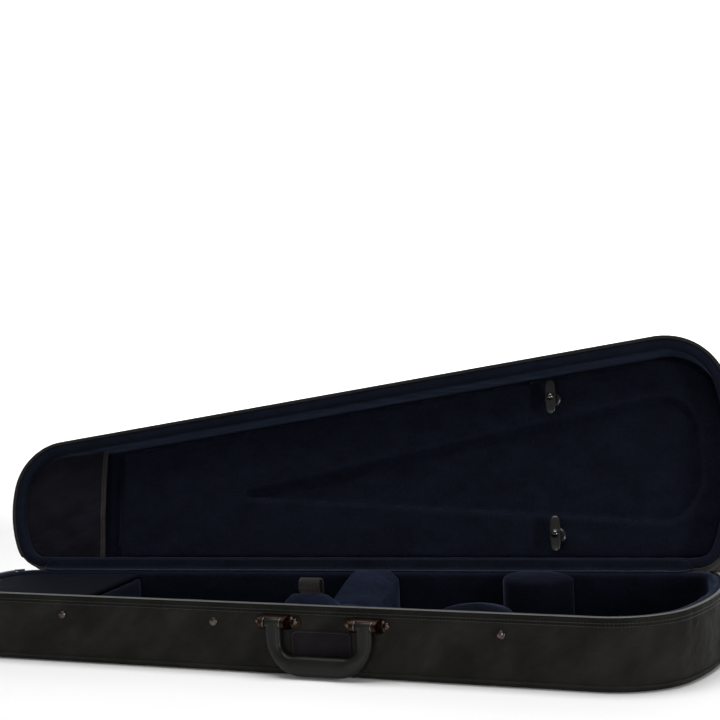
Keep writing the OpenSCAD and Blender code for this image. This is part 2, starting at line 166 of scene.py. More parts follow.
CENTRE_LINE = Matrix.Rotation(-TAPER, 4, "Z")
HANDLE_SIDE = Matrix.Rotation(-2 * TAPER, 4, "Z") @ Matrix.Translation((0, -SIDE_Y, 0))
IN_BASE = Matrix.Identity(4)
ON_CENTRE_LINE = np.array([[math.cos(TAPER), -math.sin(TAPER)], [math.sin(TAPER), math.cos(TAPER)]])
IN_LID = (
    Matrix.Translation((0, HINGE_Y, HINGE_Z))
    @ Matrix.Rotation(-OPEN_ANGLE, 4, "X")
    @ Matrix.Translation((0, -HINGE_Y, RIM_GAP / 2 + LID_H))
    @ Matrix.Scale(-1, 4, (0, 0, 1))
)
LID_LINE = IN_LID @ CENTRE_LINE


def moved(points, place):
    """The points after a 4x4 matrix."""
    m = np.array(place)
    return np.asarray(points, float) @ m[:3, :3].T + m[:3, 3]


def lengths_along(points):
    """Distance along a line at each of its points."""
    return np.concatenate([[0], np.cumsum(np.linalg.norm(np.diff(points, axis=0), axis=1))])


def at_distances(distances, along, points):
    """Points at distances along a line, by interpolation."""
    return np.stack([np.interp(distances, along, column) for column in points.T], axis=1)


# ---- The outline, as one path round the rim


def end_radius(width, bulge):
    """Radius of a round end from its width and how far it stands out."""
    return ((width / 2) ** 2 + bulge**2) / (2 * bulge)


NARROW_END_R = end_radius(NARROW_W, NARROW_BULGE)
WIDE_END_R = end_radius(WIDE_W, WIDE_BULGE)
NARROW_END = np.array([-CASE_L / 2 + NARROW_END_R, 0.0])
WIDE_END = np.array([CASE_L / 2 - WIDE_END_R, 0.0])


def corner_centre(r, end_centre, end_r, way):
    """Centre of a hinge-side corner that touches the long side and a round end."""
    along = np.array([math.cos(TAPER), math.sin(TAPER)])
    out = np.array([-math.sin(TAPER), math.cos(TAPER)])
    start = np.array([-CASE_L / 2, NARROW_W / 2]) - r * out
    gap = start - end_centre
    t = gap @ along
    return start + (-t + way * math.sqrt(t * t - gap @ gap + (end_r - r) ** 2)) * along


def turn(point, centre):
    """Direction of a point from a centre, in radians."""
    return math.atan2(point[1] - centre[1], point[0] - centre[0])


MIRROR = np.array([1, -1])
wide_corner = corner_centre(WIDE_HINGE_R, WIDE_END, WIDE_END_R, 1)
narrow_corner = corner_centre(NARROW_HINGE_R, NARROW_END, NARROW_END_R, -1)
wide_front = corner_centre(WIDE_R, WIDE_END, WIDE_END_R, 1) * MIRROR
narrow_front = corner_centre(NARROW_R, NARROW_END, NARROW_END_R, -1) * MIRROR
UP = math.pi / 2 + TAPER
DOWN = 3 * math.pi / 2 - TAPER
ARCS = (
    (narrow_corner, NARROW_HINGE_R, UP, turn(narrow_corner, NARROW_END)),
    (NARROW_END, NARROW_END_R, turn(narrow_corner, NARROW_END), TAU + turn(narrow_front, NARROW_END)),
    (narrow_front, NARROW_R, TAU + turn(narrow_front, NARROW_END), DOWN),
    (wide_front, WIDE_R, DOWN, TAU + turn(wide_front, WIDE_END)),
    (WIDE_END, WIDE_END_R, turn(wide_front, WIDE_END), turn(wide_corner, WIDE_END)),
    (wide_corner, WIDE_HINGE_R, turn(wide_corner, WIDE_END), UP),
)


class Path:
    """Points in plan with outward normals and the distance along."""

    def __init__(self, points, normals):
        self.points = np.array(points)
        self.normals = np.array(normals)
        self.along = lengths_along(self.points)

    def part(self, keep):
        return Path(self.points[keep], self.normals[keep])

    def inset(self, distance):
        return self.points - self.normals * distance

    def at(self, distances):
        """Points and normals at distances along."""
        points = at_distances(distances, self.along, self.points)
        return points, at_distances(distances, self.along, self.normals)


def rim_path(step):
    """The whole outline, from the middle of the hinge side round by the narrow end."""
    points, normals = [], []

    def straight(a, b, normal):
        count = max(2, int(np.linalg.norm(b - a) / step))
        for i in range(1, count):
            points.append(a + (b - a) * i / count)
            normals.append(normal)

    def on_arc(centre, r, angle):
        return centre + r * np.array([math.cos(angle), math.sin(angle)])

    hinge_mid = (on_arc(wide_corner, WIDE_HINGE_R, UP) + on_arc(narrow_corner, NARROW_HINGE_R, UP)) / 2
    last = hinge_mid
    for centre, r, start, end in ARCS:
        first = on_arc(centre, r, start)
        if np.linalg.norm(first - last) > step:
            straight(last, first, np.array([math.cos(start), math.sin(start)]))
        count = max(4, int(r * abs(end - start) / step))
        for i in range(count):
            angle = start + (end - start) * i / count
            points.append(on_arc(centre, r, angle))
            normals.append(np.array([math.cos(angle), math.sin(angle)]))
        last = on_arc(centre, r, end)
    straight(last, hinge_mid, np.array([math.cos(UP), math.sin(UP)]))
    spin = np.array([[math.cos(TAPER), math.sin(TAPER)], [-math.sin(TAPER), math.cos(TAPER)]])
    return Path(np.array(points) @ spin.T, np.array(normals) @ spin.T)


RIM_STEP = 3.2 * MM
RIM = rim_path(RIM_STEP)
ZIP = RIM.part(RIM.points[:, 1] < ZIP_END_Y)

# where on the rim the patch behind the handle sits, because the cover lies flat under it
PATCH_MID = (HANDLE_SIDE @ Vector((BADGE_X, 0, 0))).to_2d()
PATCH_ALONG = RIM.along[np.argmin(np.linalg.norm(RIM.points - np.array(PATCH_MID), axis=1))]

# ---- Smooth steps and random waves


def waves(u, v, seed, count, u_length, v_length):
    """A smooth random surface from a few crossing waves, about -1 to 1."""
    pick = np.random.default_rng(seed)
    total = 0
    for _ in range(count):
        fu = pick.uniform(0.6, 1.7) / u_length
        fv = pick.uniform(-1.4, 1.4) / v_length
        total = total + np.sin(TAU * (u * fu + v * fv) + pick.uniform(0, TAU))
    return total / count


def smoothstep(x, low, high):
    """0 below low, 1 above high, and a smooth rise between them."""
    t = np.clip((x - low) / (high - low), 0, 1)
    return t * t * (3 - 2 * t)


# ---- Mesh building


def linked(name, data):
    """A new object in the scene."""
    obj = bpy.data.objects.new(name, data)
    bpy.context.scene.collection.objects.link(obj)
    return obj


def flipped(faces):
    """The faces turned to look the other way."""
    return [tuple(reversed(face)) for face in faces]


def finish_mesh(name, verts, faces, material, body, slot, replaces=(), place=IN_BASE, uvs=None, flat=False):
    """A mesh object from points and faces, placed, shaded smooth and riding on a body."""
    verts = moved(verts, place)
    if place.determinant() < 0:
        faces = flipped(faces)
    mesh = bpy.data.meshes.new(name)
    mesh.from_pydata(verts.tolist(), [], faces)
    if uvs is not None:
        layer = mesh.uv_layers.new(name="cloth")
        order = np.zeros(len(mesh.loops), dtype=int)
        mesh.loops.foreach_get("vertex_index", order)
        layer.data.foreach_set("uv", np.asarray(uvs, float)[order].ravel())
    mesh.validate()
    if not flat:
        mesh.shade_smooth()
    obj = linked(name, mesh)
    mesh.materials.append(material)
    if body:
        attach(obj, body)
    if replaces:
        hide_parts(*replaces)
    return obj


def grid_faces(rows, columns, wrap_rows=False, wrap_columns=False):
    """Four-sided faces between rows of points."""
    faces = []
    for i in range(rows if wrap_rows else rows - 1):
        k = (i + 1) % rows
        for j in range(columns if wrap_columns else columns - 1):
            m = (j + 1) % columns
            faces.append((i * columns + j, k * columns + j, k * columns + m, i * columns + m))
    return faces


def end_caps(rows, sides):
    """The first and last ring of a tube as faces."""
    return [tuple(range(sides)), tuple((rows - 1) * sides + j for j in reversed(range(sides)))]


def tube_faces(rows, sides):
    """Faces of rings joined into a tube, with its two ends."""
    return grid_faces(rows, sides, wrap_columns=True) + end_caps(rows, sides)


def slab_faces(rows, columns):
    """Faces of a closed slab between two grids of points, the second numbered after the first."""
    count = rows * columns
    first = grid_faces(rows, columns)
    second = [tuple(v + count for v in face) for face in flipped(first)]
    border = list(range(columns))
    border += [i * columns + columns - 1 for i in range(1, rows)]
    border += [(rows - 1) * columns + j for j in reversed(range(columns - 1))]
    border += [i * columns for i in reversed(range(1, rows - 1))]
    walls = [(a, b, b + count, a + count) for a, b in zip(border, border[1:] + border[:1])]
    return first + second + walls


def square_axes(ahead):
    """Two unit vectors square to each unit direction, and to each other."""
    steep = np.abs(ahead[:, 2:3]) > 0.9
    side = np.cross(np.where(steep, [[1.0, 0, 0]], [[0, 0, 1.0]]), ahead)
    side /= np.linalg.norm(side, axis=1)[:, None]
    return side, np.cross(ahead, side)


def squares_of(line):
    """Unit vectors square to a flat line at each of its points."""
    ahead = np.gradient(line, axis=0)
    ahead /= np.linalg.norm(ahead, axis=1)[:, None]
    return np.stack([-ahead[:, 1], ahead[:, 0]], axis=1)


# a filled floor: rings between its edge and the centre line, the part of the centre line they gather on,
# how they crowd towards it, how near they come, and how much of the way the floor takes to find its height
FILL_RINGS = 26
SPINE_X = (-CASE_L / 2 + 95 * MM, CASE_L / 2 - 115 * MM)
FILL_CROWDING = 1.3
FILL_REACH = 0.9998
FILL_EASE = 0.3


def sweep(name, path, profile, material, body, slot, closed=True, ring=False, wobble=None, fill=None, **more):
    """A profile of (inset, height) pairs carried round a path. ring closes the profile on itself.

    fill gives the height of a cloth floor at (x, y), carried from the profile's end to the centre line.
    """
    profile = np.array(profile, float)
    rows, columns = len(path.points), len(profile)
    inset = np.repeat(profile[None, :, 0], rows, axis=0)
    height = np.repeat(profile[None, :, 1], rows, axis=0)
    across = lengths_along(profile)
    if wobble:
        out, up = wobble(path.along[:, None], height, inset)
        inset = inset - out
        height = height + up
    flat = path.points[:, None, :] - path.normals[:, None, :] * inset[:, :, None]
    if fill:
        rim = flat[:, -1:, :]
        spine = rim @ ON_CENTRE_LINE.T
        spine[:, :, 0] = np.clip(spine[:, :, 0], *SPINE_X)
        spine[:, :, 1] = 0
        spine = spine @ ON_CENTRE_LINE
        to_edge = 1 - np.linspace(0, 1, FILL_RINGS + 1)[1:]
        shares = (1 - to_edge**FILL_CROWDING)[None, :, None] * FILL_REACH
        inner = rim * (1 - shares) + spine * shares
        rise = smoothstep(shares[:, :, 0], 0, FILL_EASE) * fill(inner[:, :, 0], inner[:, :, 1])
        height = np.concatenate([height, height[:, -1:] + rise], axis=1)
        flat = np.concatenate([flat, inner], axis=1)
        columns = flat.shape[1]
    verts = np.concatenate([flat, height[:, :, None]], axis=2).reshape(-1, 3)
    faces = grid_faces(rows, columns, wrap_rows=closed, wrap_columns=ring)
    if closed and not ring:
        faces.append(tuple(i * columns for i in reversed(range(rows))))
        if not fill:
            faces.append(tuple(i * columns + columns - 1 for i in range(rows)))
    if not closed and ring:
        faces += end_caps(rows, columns)
    if fill:
        uvs = verts[:, :2]
    else:
        uvs = np.stack(np.broadcast_arrays(path.along[:, None], across[None, :]), axis=2).reshape(-1, 2)
    return finish_mesh(name, verts, faces, material, body, slot, uvs=uvs, **more)


def circles(ahead, sides):
    """Unit circles square to each direction."""
    side, up = square_axes(ahead)
    angles = np.arange(sides)[None, :, None] * TAU / sides
    return side[:, None, :] * np.cos(angles) + up[:, None, :] * np.sin(angles)


def tube(points, radius, sides):
    """Verts and faces of a round tube along points; radius may be one number or one for each point."""
    points = np.asarray(points, float)
    count = len(points)
    radius = np.broadcast_to(radius, (count,))
    ahead = np.roll(points, -1, axis=0) - np.roll(points, 1, axis=0)
    ahead[0] = points[1] - points[0]
    ahead[-1] = points[-1] - points[-2]
    ahead /= np.linalg.norm(ahead, axis=1)[:, None]
    around = circles(ahead, sides)
    verts = (points[:, None, :] + around * radius[:, None, None]).reshape(-1, 3)
    return verts, flipped(grid_faces(count, sides, wrap_columns=True)) + end_caps(count, sides)


# places along a capsule and its thickness there, as shares of its length and radius
CAPSULE_STATIONS = ((-0.5, 0.45), (-0.32, 1.0), (0.32, 1.0), (0.5, 0.45))


def capsules(centres, directions, length, radius, sides=6):
    """Many short rounded rods in one mesh: stitches and zip teeth."""
    centres = np.asarray(centres, float)
    ahead = np.asarray(directions, float)
    ahead = ahead / np.linalg.norm(ahead, axis=1)[:, None]
    around = circles(ahead, sides)
    rings = [centres[:, None, :] + ahead[:, None, :] * t * length + around * r * radius
             for t, r in CAPSULE_STATIONS]
    verts = np.stack(rings, axis=1).reshape(-1, 3)
    rows = len(CAPSULE_STATIONS)
    one = flipped(grid_faces(rows, sides, wrap_columns=True)) + end_caps(rows, sides)
    each = rows * sides
    faces = [tuple(v + n * each for v in f) for n in range(len(centres)) for f in one]
    return verts, faces


def joined(*parts):
    """Several (verts, faces) as one."""
    verts, faces, count = [], [], 0
    for v, f in parts:
        verts.append(np.asarray(v, float))
        faces.extend(tuple(i + count for i in face) for face in f)
        count += len(v)
    return np.concatenate(verts), faces


def lathe(profile, sides=40):
    """A profile of (radius, height) pairs turned round +Z; it starts and ends on the axis."""
    angles = np.arange(sides) * TAU / sides
    verts = [(0, 0, profile[0][1])]
    for r, z in profile[1:-1]:
        verts.extend((r * math.cos(a), r * math.sin(a), z) for a in angles)
    verts.append((0, 0, profile[-1][1]))
    rings = len(profile) - 2
    last = len(verts) - 1
    faces = []
    for j in range(sides):
        k = (j + 1) % sides
        faces.append((0, 1 + k, 1 + j))
        for i in range(rings - 1):
            a, b = 1 + i * sides, 1 + (i + 1) * sides
            faces.append((a + j, a + k, b + k, b + j))
        faces.append((1 + (rings - 1) * sides + j, 1 + (rings - 1) * sides + k, last))
    return np.array(verts), faces


def super_ring(half_a, half_b, power, sides):
    """Points of a rounded rectangle as a superellipse."""
    angles = (np.arange(sides) + 0.5) * TAU / sides
    c, s = np.cos(angles), np.sin(angles)
    return np.stack([half_a * np.sign(c) * np.abs(c) ** (2 / power),
                     half_b * np.sign(s) * np.abs(s) ** (2 / power)], axis=1)


def prism(outline, low, high):
    """A flat polygon given thickness along z."""
    outline = np.asarray(outline, float)
    count = len(outline)
    verts = np.concatenate([np.c_[outline, np.full(count, low)], np.c_[outline, np.full(count, high)]])
    faces = [tuple(reversed(range(count))), tuple(range(count, 2 * count))]
    faces += [(i, (i + 1) % count, count + (i + 1) % count, count + i) for i in range(count)]
    return verts, faces


def clipped(polygon, axis, limit, keep_below):
    """A polygon cut by a straight line along an axis."""
    sign = 1 if keep_below else -1
    result = []
    for a, b in zip(polygon, np.roll(polygon, -1, axis=0)):
        da, db = sign * (limit - a[axis]), sign * (limit - b[axis])
        if da >= 0:
            result.append(a)
        if da * db < 0:
            result.append(a + (b - a) * da / (da - db))
    return np.array(result)


def bevelled(obj, width, segments=3, angle=30):
    """Rounds the edges sharper than an angle in degrees."""
    mod = obj.modifiers.new("edges", "BEVEL")
    mod.width = width
    mod.segments = segments
    mod.limit_method = "ANGLE"
    mod.angle_limit = math.radians(angle)


def apply_modifiers(obj):
    """Leaves the object with its evaluated mesh and no modifiers."""
    bpy.context.view_layer.update()
    graph = bpy.context.evaluated_depsgraph_get()
    mesh = bpy.data.meshes.new_from_object(obj.evaluated_get(graph))
    obj.modifiers.clear()
    obj.data = mesh
    mesh.shade_smooth()


def remeshed(obj, voxel, smooth):
    """One closed rounded skin over a rough solid."""
    mod = obj.modifiers.new("skin", "REMESH")
    mod.mode = "VOXEL"
    mod.voxel_size = voxel
    mod.use_smooth_shade = True
    relax = obj.modifiers.new("relax", "SMOOTH")
    relax.factor = 0.5
    relax.iterations = smooth
    apply_modifiers(obj)


# the cloth that swells a padded piece, and how long it is left to swell
SWELL_CLOTH = {
    "quality": 4,
    "mass": 0.2,
    "tension_stiffness": 12,
    "bending_stiffness": 1.2,
    "use_pressure": True,
    "uniform_pressure_force": 4.0,
}
SWELL_FRAMES = 20


def swollen(obj, rest):
    """Where a short cloth simulation takes the points of a piece, or None if it changes their number."""
    scene = bpy.context.scene
    cloth = obj.modifiers.new("swell", "CLOTH")
    for key, value in SWELL_CLOTH.items():
        setattr(cloth.settings, key, value)
    cloth.settings.effector_weights.gravity = 0
    cloth.point_cache.frame_end = SWELL_FRAMES
    for number in range(1, SWELL_FRAMES + 1):
        scene.frame_set(number)
    mesh = obj.evaluated_get(bpy.context.evaluated_depsgraph_get()).to_mesh()
    now = None
    if len(mesh.vertices) * 3 == len(rest):
        now = np.zeros(len(rest))
        mesh.vertices.foreach_get("co", now)
    obj.modifiers.clear()
    scene.frame_set(1)
    return now


def puffed(obj, most, floor=None):
    """Swells a padded piece, moving no point further than most, and keeps it above a floor."""
    rest = np.zeros(len(obj.data.vertices) * 3)
    obj.data.vertices.foreach_get("co", rest)
    now = swollen(obj, rest)
    if now is not None:
        move = (now - rest).reshape(-1, 3)
        size = np.linalg.norm(move, axis=1)[:, None]
        move *= np.minimum(1, most / np.maximum(size, 1e-9))
        obj.data.vertices.foreach_set("co", (rest.reshape(-1, 3) + move).ravel())
    if floor is not None:
        for v in obj.data.vertices:
            v.co.z = max(v.co.z, floor)
    obj.data.update()
    mod = obj.modifiers.new("fine", "SUBSURF")
    mod.levels = mod.render_levels = 1
    apply_modifiers(obj)


def soft_block(name, parts, material, replaces, voxel, swell, place=IN_BASE, body="base", floor=None,
               smooth=3):
    """A padded piece from rough closed solids."""
    verts, faces = joined(*parts)
    obj = finish_mesh(name, verts, faces, material, None, "plush", replaces, place)
    remeshed(obj, voxel, smooth)
    puffed(obj, swell, floor)
    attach(obj, body)


# ---- Materials


class Look:
    """A small builder of node materials."""

    def __init__(self, name, rough=0.5, **sockets):
        self.material = bpy.data.materials.new(name)
        self.material.use_nodes = True
        self.tree = self.material.node_tree
        self.shader = self.tree.nodes["Principled BSDF"]
        self.shader.inputs["Roughness"].default_value = rough
        for key, value in sockets.items():
            self.shader.inputs[key.replace("_", " ")].default_value = value

    def node(self, kind, inputs=None, **settings):
        """A node with its settings, and its inputs set or linked."""
        node = self.tree.nodes.new(kind)
        for key, value in settings.items():
            setattr(node, key, value)
        for key, value in (inputs or {}).items():
            if isinstance(value, bpy.types.NodeSocket):
                self.tree.links.new(value, node.inputs[key])
            else:
                node.inputs[key].default_value = value
        return node

    def math(self, operation, a, b=0.0):
        return self.node("ShaderNodeMath", {0: a, 1: b}, operation=operation).outputs[0]

    def noise(self, vector, scale, detail=3.0, rough=0.55):
        inputs = {"Vector": vector, "Scale": scale, "Detail": detail, "Roughness": rough}
        return self.node("ShaderNodeTexNoise", inputs).outputs["Fac"]

    def place(self, stretch=(1, 1, 1)):
        """Object coordinates, stretched."""
        source = self.node("ShaderNodeTexCoord").outputs["Object"]
        return self.node("ShaderNodeMapping", {"Vector": source, "Scale": stretch}).outputs[0]

    def slanted(self, turn_y, longer):
        """Object coordinates turned in the XZ plane and drawn out along the turned x."""
        source = self.node("ShaderNodeTexCoord").outputs["Object"]
        inputs = {"Vector": source, "Scale": (longer, 1, 1), "Rotation": (0, turn_y, 0)}
        return self.node("ShaderNodeMapping", inputs, vector_type="TEXTURE").outputs[0]

    def cloth_uv(self):
        return self.node("ShaderNodeUVMap", uv_map="cloth").outputs[0]

    def ramp(self, factor, stops):
        """A colour picked along (position, colour) stops."""
        node = self.node("ShaderNodeValToRGB", {"Fac": factor})
        band = node.color_ramp
        while len(band.elements) < len(stops):
            band.elements.new(0.5)
        for element, (position, colour) in zip(band.elements, stops):
            element.position = position
            element.color = (*colour, 1)
        return node.outputs["Color"]

    def mix(self, factor, a, b, blend_type="MIX"):
        node = self.node("ShaderNodeMix", data_type="RGBA", blend_type=blend_type)
        for index, value in ((0, factor), (6, a), (7, b)):
            if isinstance(value, bpy.types.NodeSocket):
                self.tree.links.new(value, node.inputs[index])
            else:
                node.inputs[index].default_value = value if index == 0 else (*value, 1)
        return node.outputs[2]

    def bump(self, height, distance, strength=1.0, before=None):
        inputs = {"Height": height, "Distance": distance, "Strength": strength}
        if before is not None:
            inputs["Normal"] = before
        return self.node("ShaderNodeBump", inputs).outputs[0]

    def outer_edges(self, low=0.52, high=0.6):
        """0 on flats, 1 on outer edges."""
        point = self.node("ShaderNodeNewGeometry").outputs["Pointiness"]
        inputs = {"Value": point, "From Min": low, "From Max": high}
        return self.node("ShaderNodeMapRange", inputs).outputs[0]

    def range_of(self, value, low, high):
        """A value of 0 to 1 carried to low to high."""
        return self.node("ShaderNodeMapRange", {"Value": value, "To Min": low, "To Max": high}).outputs[0]

    def done(self, colour, normal=None, rough=None):
        """The material, with its colour, normal and roughness joined up."""
        self.tree.links.new(colour, self.shader.inputs["Base Color"])
        if normal is not None:
            self.tree.links.new(normal, self.shader.inputs["Normal"])
        if rough is not None:
            self.tree.links.new(rough, self.shader.inputs["Roughness"])
        return self.material


def crossing_threads(look, vector, pitch, skew=False):
    """Height of a plain weave, or a twill when skew is set."""
    split = look.node("ShaderNodeSeparateXYZ", {0: vector})
    u = look.math("MULTIPLY", split.outputs[0], TAU / 2 / pitch)
    v = look.math("MULTIPLY", split.outputs[1], TAU / 2 / pitch)
    if skew:
        diagonal = look.math("SINE", look.math("ADD", u, v))
        warp = look.math("MULTIPLY", look.math("ABSOLUTE", look.math("SINE", u)), 0.5)
        return look.math("ADD", diagonal, warp)
    return look.math("MULTIPLY", look.math("SINE", u), look.math("SINE", v))


def toned(colour, factor):
    """A colour made darker or lighter."""
    return tuple(c * factor for c in colour)


DUST = (0.05, 0.05, 0.048)
LINT = (0.05, 0.055, 0.07)
BARE_METAL = (0.86, 0.84, 0.8)
NAVY_BLOOM = (0.45, 0.6, 1.0)


def woven(name, dark, light, pitch, thread_depth, rough, sheen, skew=False):
    """Woven cloth on pieces that carry lengthwise coordinates."""
    look = Look(name, rough, Sheen_Weight=sheen, Sheen_Roughness=0.45, Specular_IOR_Level=0.06)
    uv = look.cloth_uv()
    threads = crossing_threads(look, uv, pitch, skew)
    shade = look.noise(look.place(), 26, 4)
    drawn_out = look.node("ShaderNodeMapping", {"Vector": uv, "Scale": (60, 900, 1)}).outputs[0]
    streak = look.noise(drawn_out, 1.0, 2)
    mixed = look.math("ADD", look.math("MULTIPLY", shade, 0.6), look.math("MULTIPLY", streak, 0.4))
    colour = look.ramp(mixed, [(0.3, dark), (0.7, light)])
    # painted shade: slanted blotches multiply the colour down to half, as the cover's diagonal wrinkles would
    # shade it
    wrinkle_shade = look.ramp(look.noise(look.slanted(-0.7, 2.0), 34, 3), [(0.32, (0.5,) * 3), (0.68, (1.0,) * 3)])
    colour = look.mix(1.0, colour, wrinkle_shade, "MULTIPLY")
    # painted shade: where the threads dip, the colour is pulled halfway to a much darker tone
    gap_shade = look.math("LESS_THAN", threads, -0.55)
    colour = look.mix(look.math("MULTIPLY", gap_shade, 0.5), colour, toned(dark, 0.4))
    fluff = look.noise(look.place(), 900, 2)
    specks = look.math("MULTIPLY", look.math("GREATER_THAN", fluff, 0.74), 0.25)
    colour = look.mix(specks, colour, DUST)
    colour = look.mix(look.math("MULTIPLY", look.outer_edges(), 0.25), colour, toned(light, 2.2))
    rumpled = look.bump(look.noise(look.slanted(-0.6, 2.4), 36, 3), 6.0 * MM, 0.8)
    low = look.bump(look.noise(look.place(), 70, 3), 0.6 * MM, 0.5, rumpled)
    normal = look.bump(threads, thread_depth, 0.8, low)
    return look.done(colour, normal, look.range_of(shade, rough - 0.1, rough + 0.1))


def plush(name, dark, light, bloom=0.12):
    """Short-pile plush: brushed patches, tufts, a soft bloom of sheen, and outer edges coloured lighter by
    rubbed pile and a painted highlight.
    """
    look = Look(name, 0.95, Sheen_Weight=bloom, Sheen_Roughness=0.3, Specular_IOR_Level=0.05)
    look.shader.inputs["Sheen Tint"].default_value = (*NAVY_BLOOM, 1)
    brushed = look.noise(look.place((1, 2.2, 1.4)), 34, 4, 0.6)
    pile = look.noise(look.place(), 1500, 3, 0.7)
    tufts = look.noise(look.place(), 420, 2, 0.5)
    fine = look.math("ADD", look.math("MULTIPLY", pile, 0.25), look.math("MULTIPLY", tufts, 0.35))
    shade = look.math("ADD", look.math("MULTIPLY", brushed, 0.4), fine)
    colour = look.ramp(shade, [(0.34, dark), (0.66, light)])
    # outer edges coloured lighter: rubbed pile, and a painted highlight where the edges catch the light
    rubbed_and_lit_edges = look.math("MULTIPLY", look.outer_edges(0.51, 0.58), 0.35)
    colour = look.mix(rubbed_and_lit_edges, colour, toned(light, 1.9))
    lint = look.math("GREATER_THAN", look.noise(look.place(), 650, 1), 0.79)
    colour = look.mix(look.math("MULTIPLY", lint, 0.3), colour, LINT)
    low = look.bump(brushed, 1.2 * MM, 0.5)
    mid = look.bump(tufts, 0.5 * MM, 0.5, low)
    return look.done(colour, look.bump(pile, 0.25 * MM, 0.7, mid))


def plated(name, base, shade, rough):
    """Plated metal with fine scratches, dull patches and a little tarnish."""
    look = Look(name, rough, Metallic=1.0)
    patches = look.noise(look.place(), 260, 4)
    colour = look.ramp(patches, [(0.3, shade), (0.62, base)])
    scratch = look.noise(look.place((40, 900, 300)), 3.0, 2)
    edge = look.math("MULTIPLY", look.outer_edges(), 0.12)
    colour = look.mix(edge, colour, BARE_METAL)
    normal = look.bump(scratch, 0.03 * MM, 0.5)
    return look.done(colour, normal, look.range_of(patches, rough - 0.08, rough + 0.16))


def moulded(name, base, rough, coat, shine=0.3):
    """Moulded plastic: faint flow marks, rubbed edges and fine scratches."""
    look = Look(name, rough, Coat_Weight=coat, Coat_Roughness=0.12, Specular_IOR_Level=shine)
    flow = look.noise(look.place((1, 1, 0.4)), 45, 3)
    colour = look.ramp(flow, [(0.3, toned(base, 0.8)), (0.7, toned(base, 1.25))])
    rub = look.math("MULTIPLY", look.outer_edges(0.505, 0.56), 0.3)
    colour = look.mix(rub, colour, toned(base, 2.6))
    marks = look.noise(look.place((30, 700, 200)), 2.5, 2)
    smooth = look.bump(look.noise(look.place(), 110, 2), 0.12 * MM, 0.35)
    normal = look.bump(marks, 0.02 * MM, 0.35, smooth)
    return look.done(colour, normal, look.range_of(flow, rough - 0.05, rough + 0.12))


def foam_look():
    """White foam of small beads."""
    look = Look("foam", 0.9)
    beads = look.node("ShaderNodeTexVoronoi", {"Vector": look.place(), "Scale": 400})
    colour = look.ramp(beads.outputs["Distance"], [(0.0, (0.85, 0.85, 0.82)), (0.8, (0.7, 0.7, 0.67))])
    return look.done(colour, look.bump(beads.outputs["Distance"], 0.4 * MM, 0.6))


def floor_look():
    """The studio's matt paper."""
    look = Look("studio_floor", 0.75)
    colour = look.ramp(look.noise(look.place(), 2.0, 2), [(0.3, (0.86, 0.86, 0.86)), (0.7, (0.9, 0.9, 0.9))])
    return look.done(colour)


# colours are (dark, light), then the pitch and depth of the threads, the roughness and the sheen
NYLON = woven("black_nylon", (0.0105, 0.0100, 0.0090), (0.0215, 0.0205, 0.0188),
              0.75 * MM, 0.14 * MM, 0.65, 0.01)
TAPE = woven("zip_tape_twill", (0.0062, 0.0062, 0.0055), (0.0128, 0.0126, 0.0114),
             0.9 * MM, 0.12 * MM, 0.65, 0.02, skew=True)
WEBBING = woven("strap_webbing", (0.013, 0.0105, 0.0112), (0.026, 0.021, 0.022),
                1.6 * MM, 0.3 * MM, 0.7, 0.1, skew=True)
POCKET_CLOTH = woven("pocket_cloth", (0.0030, 0.0029, 0.0056), (0.0062, 0.0060, 0.0114),
                     0.8 * MM, 0.12 * MM, 0.8, 0.04)
BADGE_CLOTH = woven("badge_cloth", (0.0062, 0.0050, 0.0062), (0.0120, 0.0096, 0.0116),
                    0.7 * MM, 0.1 * MM, 0.55, 0.06)
THREAD = woven("stitching_thread", (0.012, 0.012, 0.0115), (0.030, 0.029, 0.027),
               0.3 * MM, 0.05 * MM, 0.5, 0.2)
PLUSH = plush("navy_plush", (0.0018, 0.0023, 0.0045), (0.0050, 0.0066, 0.0132))
# painted light: the navy plush again, coloured about twice as light for the neck blocks, standing for the top
# light and sheen they catch
LIT_BLOCK_PLUSH = plush("block_plush_painted_light", (0.0037, 0.0050, 0.0104), (0.0105, 0.0144, 0.0300))
# painted shade: the navy plush again, coloured about half as light for the flap, standing for how its pile
# turns from the light
SHADED_FLAP_PLUSH = plush("flap_plush", (0.0010, 0.0013, 0.0024), (0.0030, 0.0039, 0.0075), bloom=0.012)
# painted reflection: both metals are coloured far darker than bare metal, standing for dark surroundings
# mirrored in them; the brass's warm tone is its own
NICKEL = plated("nickel", (0.105, 0.085, 0.076), (0.028, 0.021, 0.019), 0.14)
WARM_METAL = plated("brass_plate_painted_dark_reflection", (0.034, 0.0175, 0.0112), (0.016, 0.0085, 0.0056), 0.3)
HANDLE_GLOSS = moulded("handle_plastic", (0.0038, 0.0036, 0.0031), 0.38, 0.0, 0.2)
BLACK_GLOSS = moulded("black_plastic", (0.004, 0.004, 0.004), 0.3, 0.15)
# painted highlight: the base's coil is coloured about seven times lighter than the lid's black coil, standing
# for the light along its top
COIL = {
    "base": moulded("base_zip_coil", (0.086, 0.086, 0.081), 0.45, 0.0, 0.1),
    "lid": moulded("lid_zip_coil", (0.012, 0.012, 0.0114), 0.5, 0.0, 0.1),
}
FOAM = foam_look()

# ---- One tray: cover, underside, piping, zip and lining; the lid is the same tray turned over


def arc_profile(centre, radius, start, end, count):
    """Points of a profile on an arc, angles in degrees, inset growing to the right."""
    angles = np.radians(np.linspace(start, end, count))
    return [(centre[0] + radius * math.cos(a), centre[1] + radius * math.sin(a)) for a in angles]


ZIP_STITCH_ROWS = (1.3 * MM, 4.4 * MM)
ZIP_STITCH_PITCH = 3.4 * MM
ZIP_STITCH_L = 2.5 * MM
ZIP_STITCH_R = 0.33 * MM


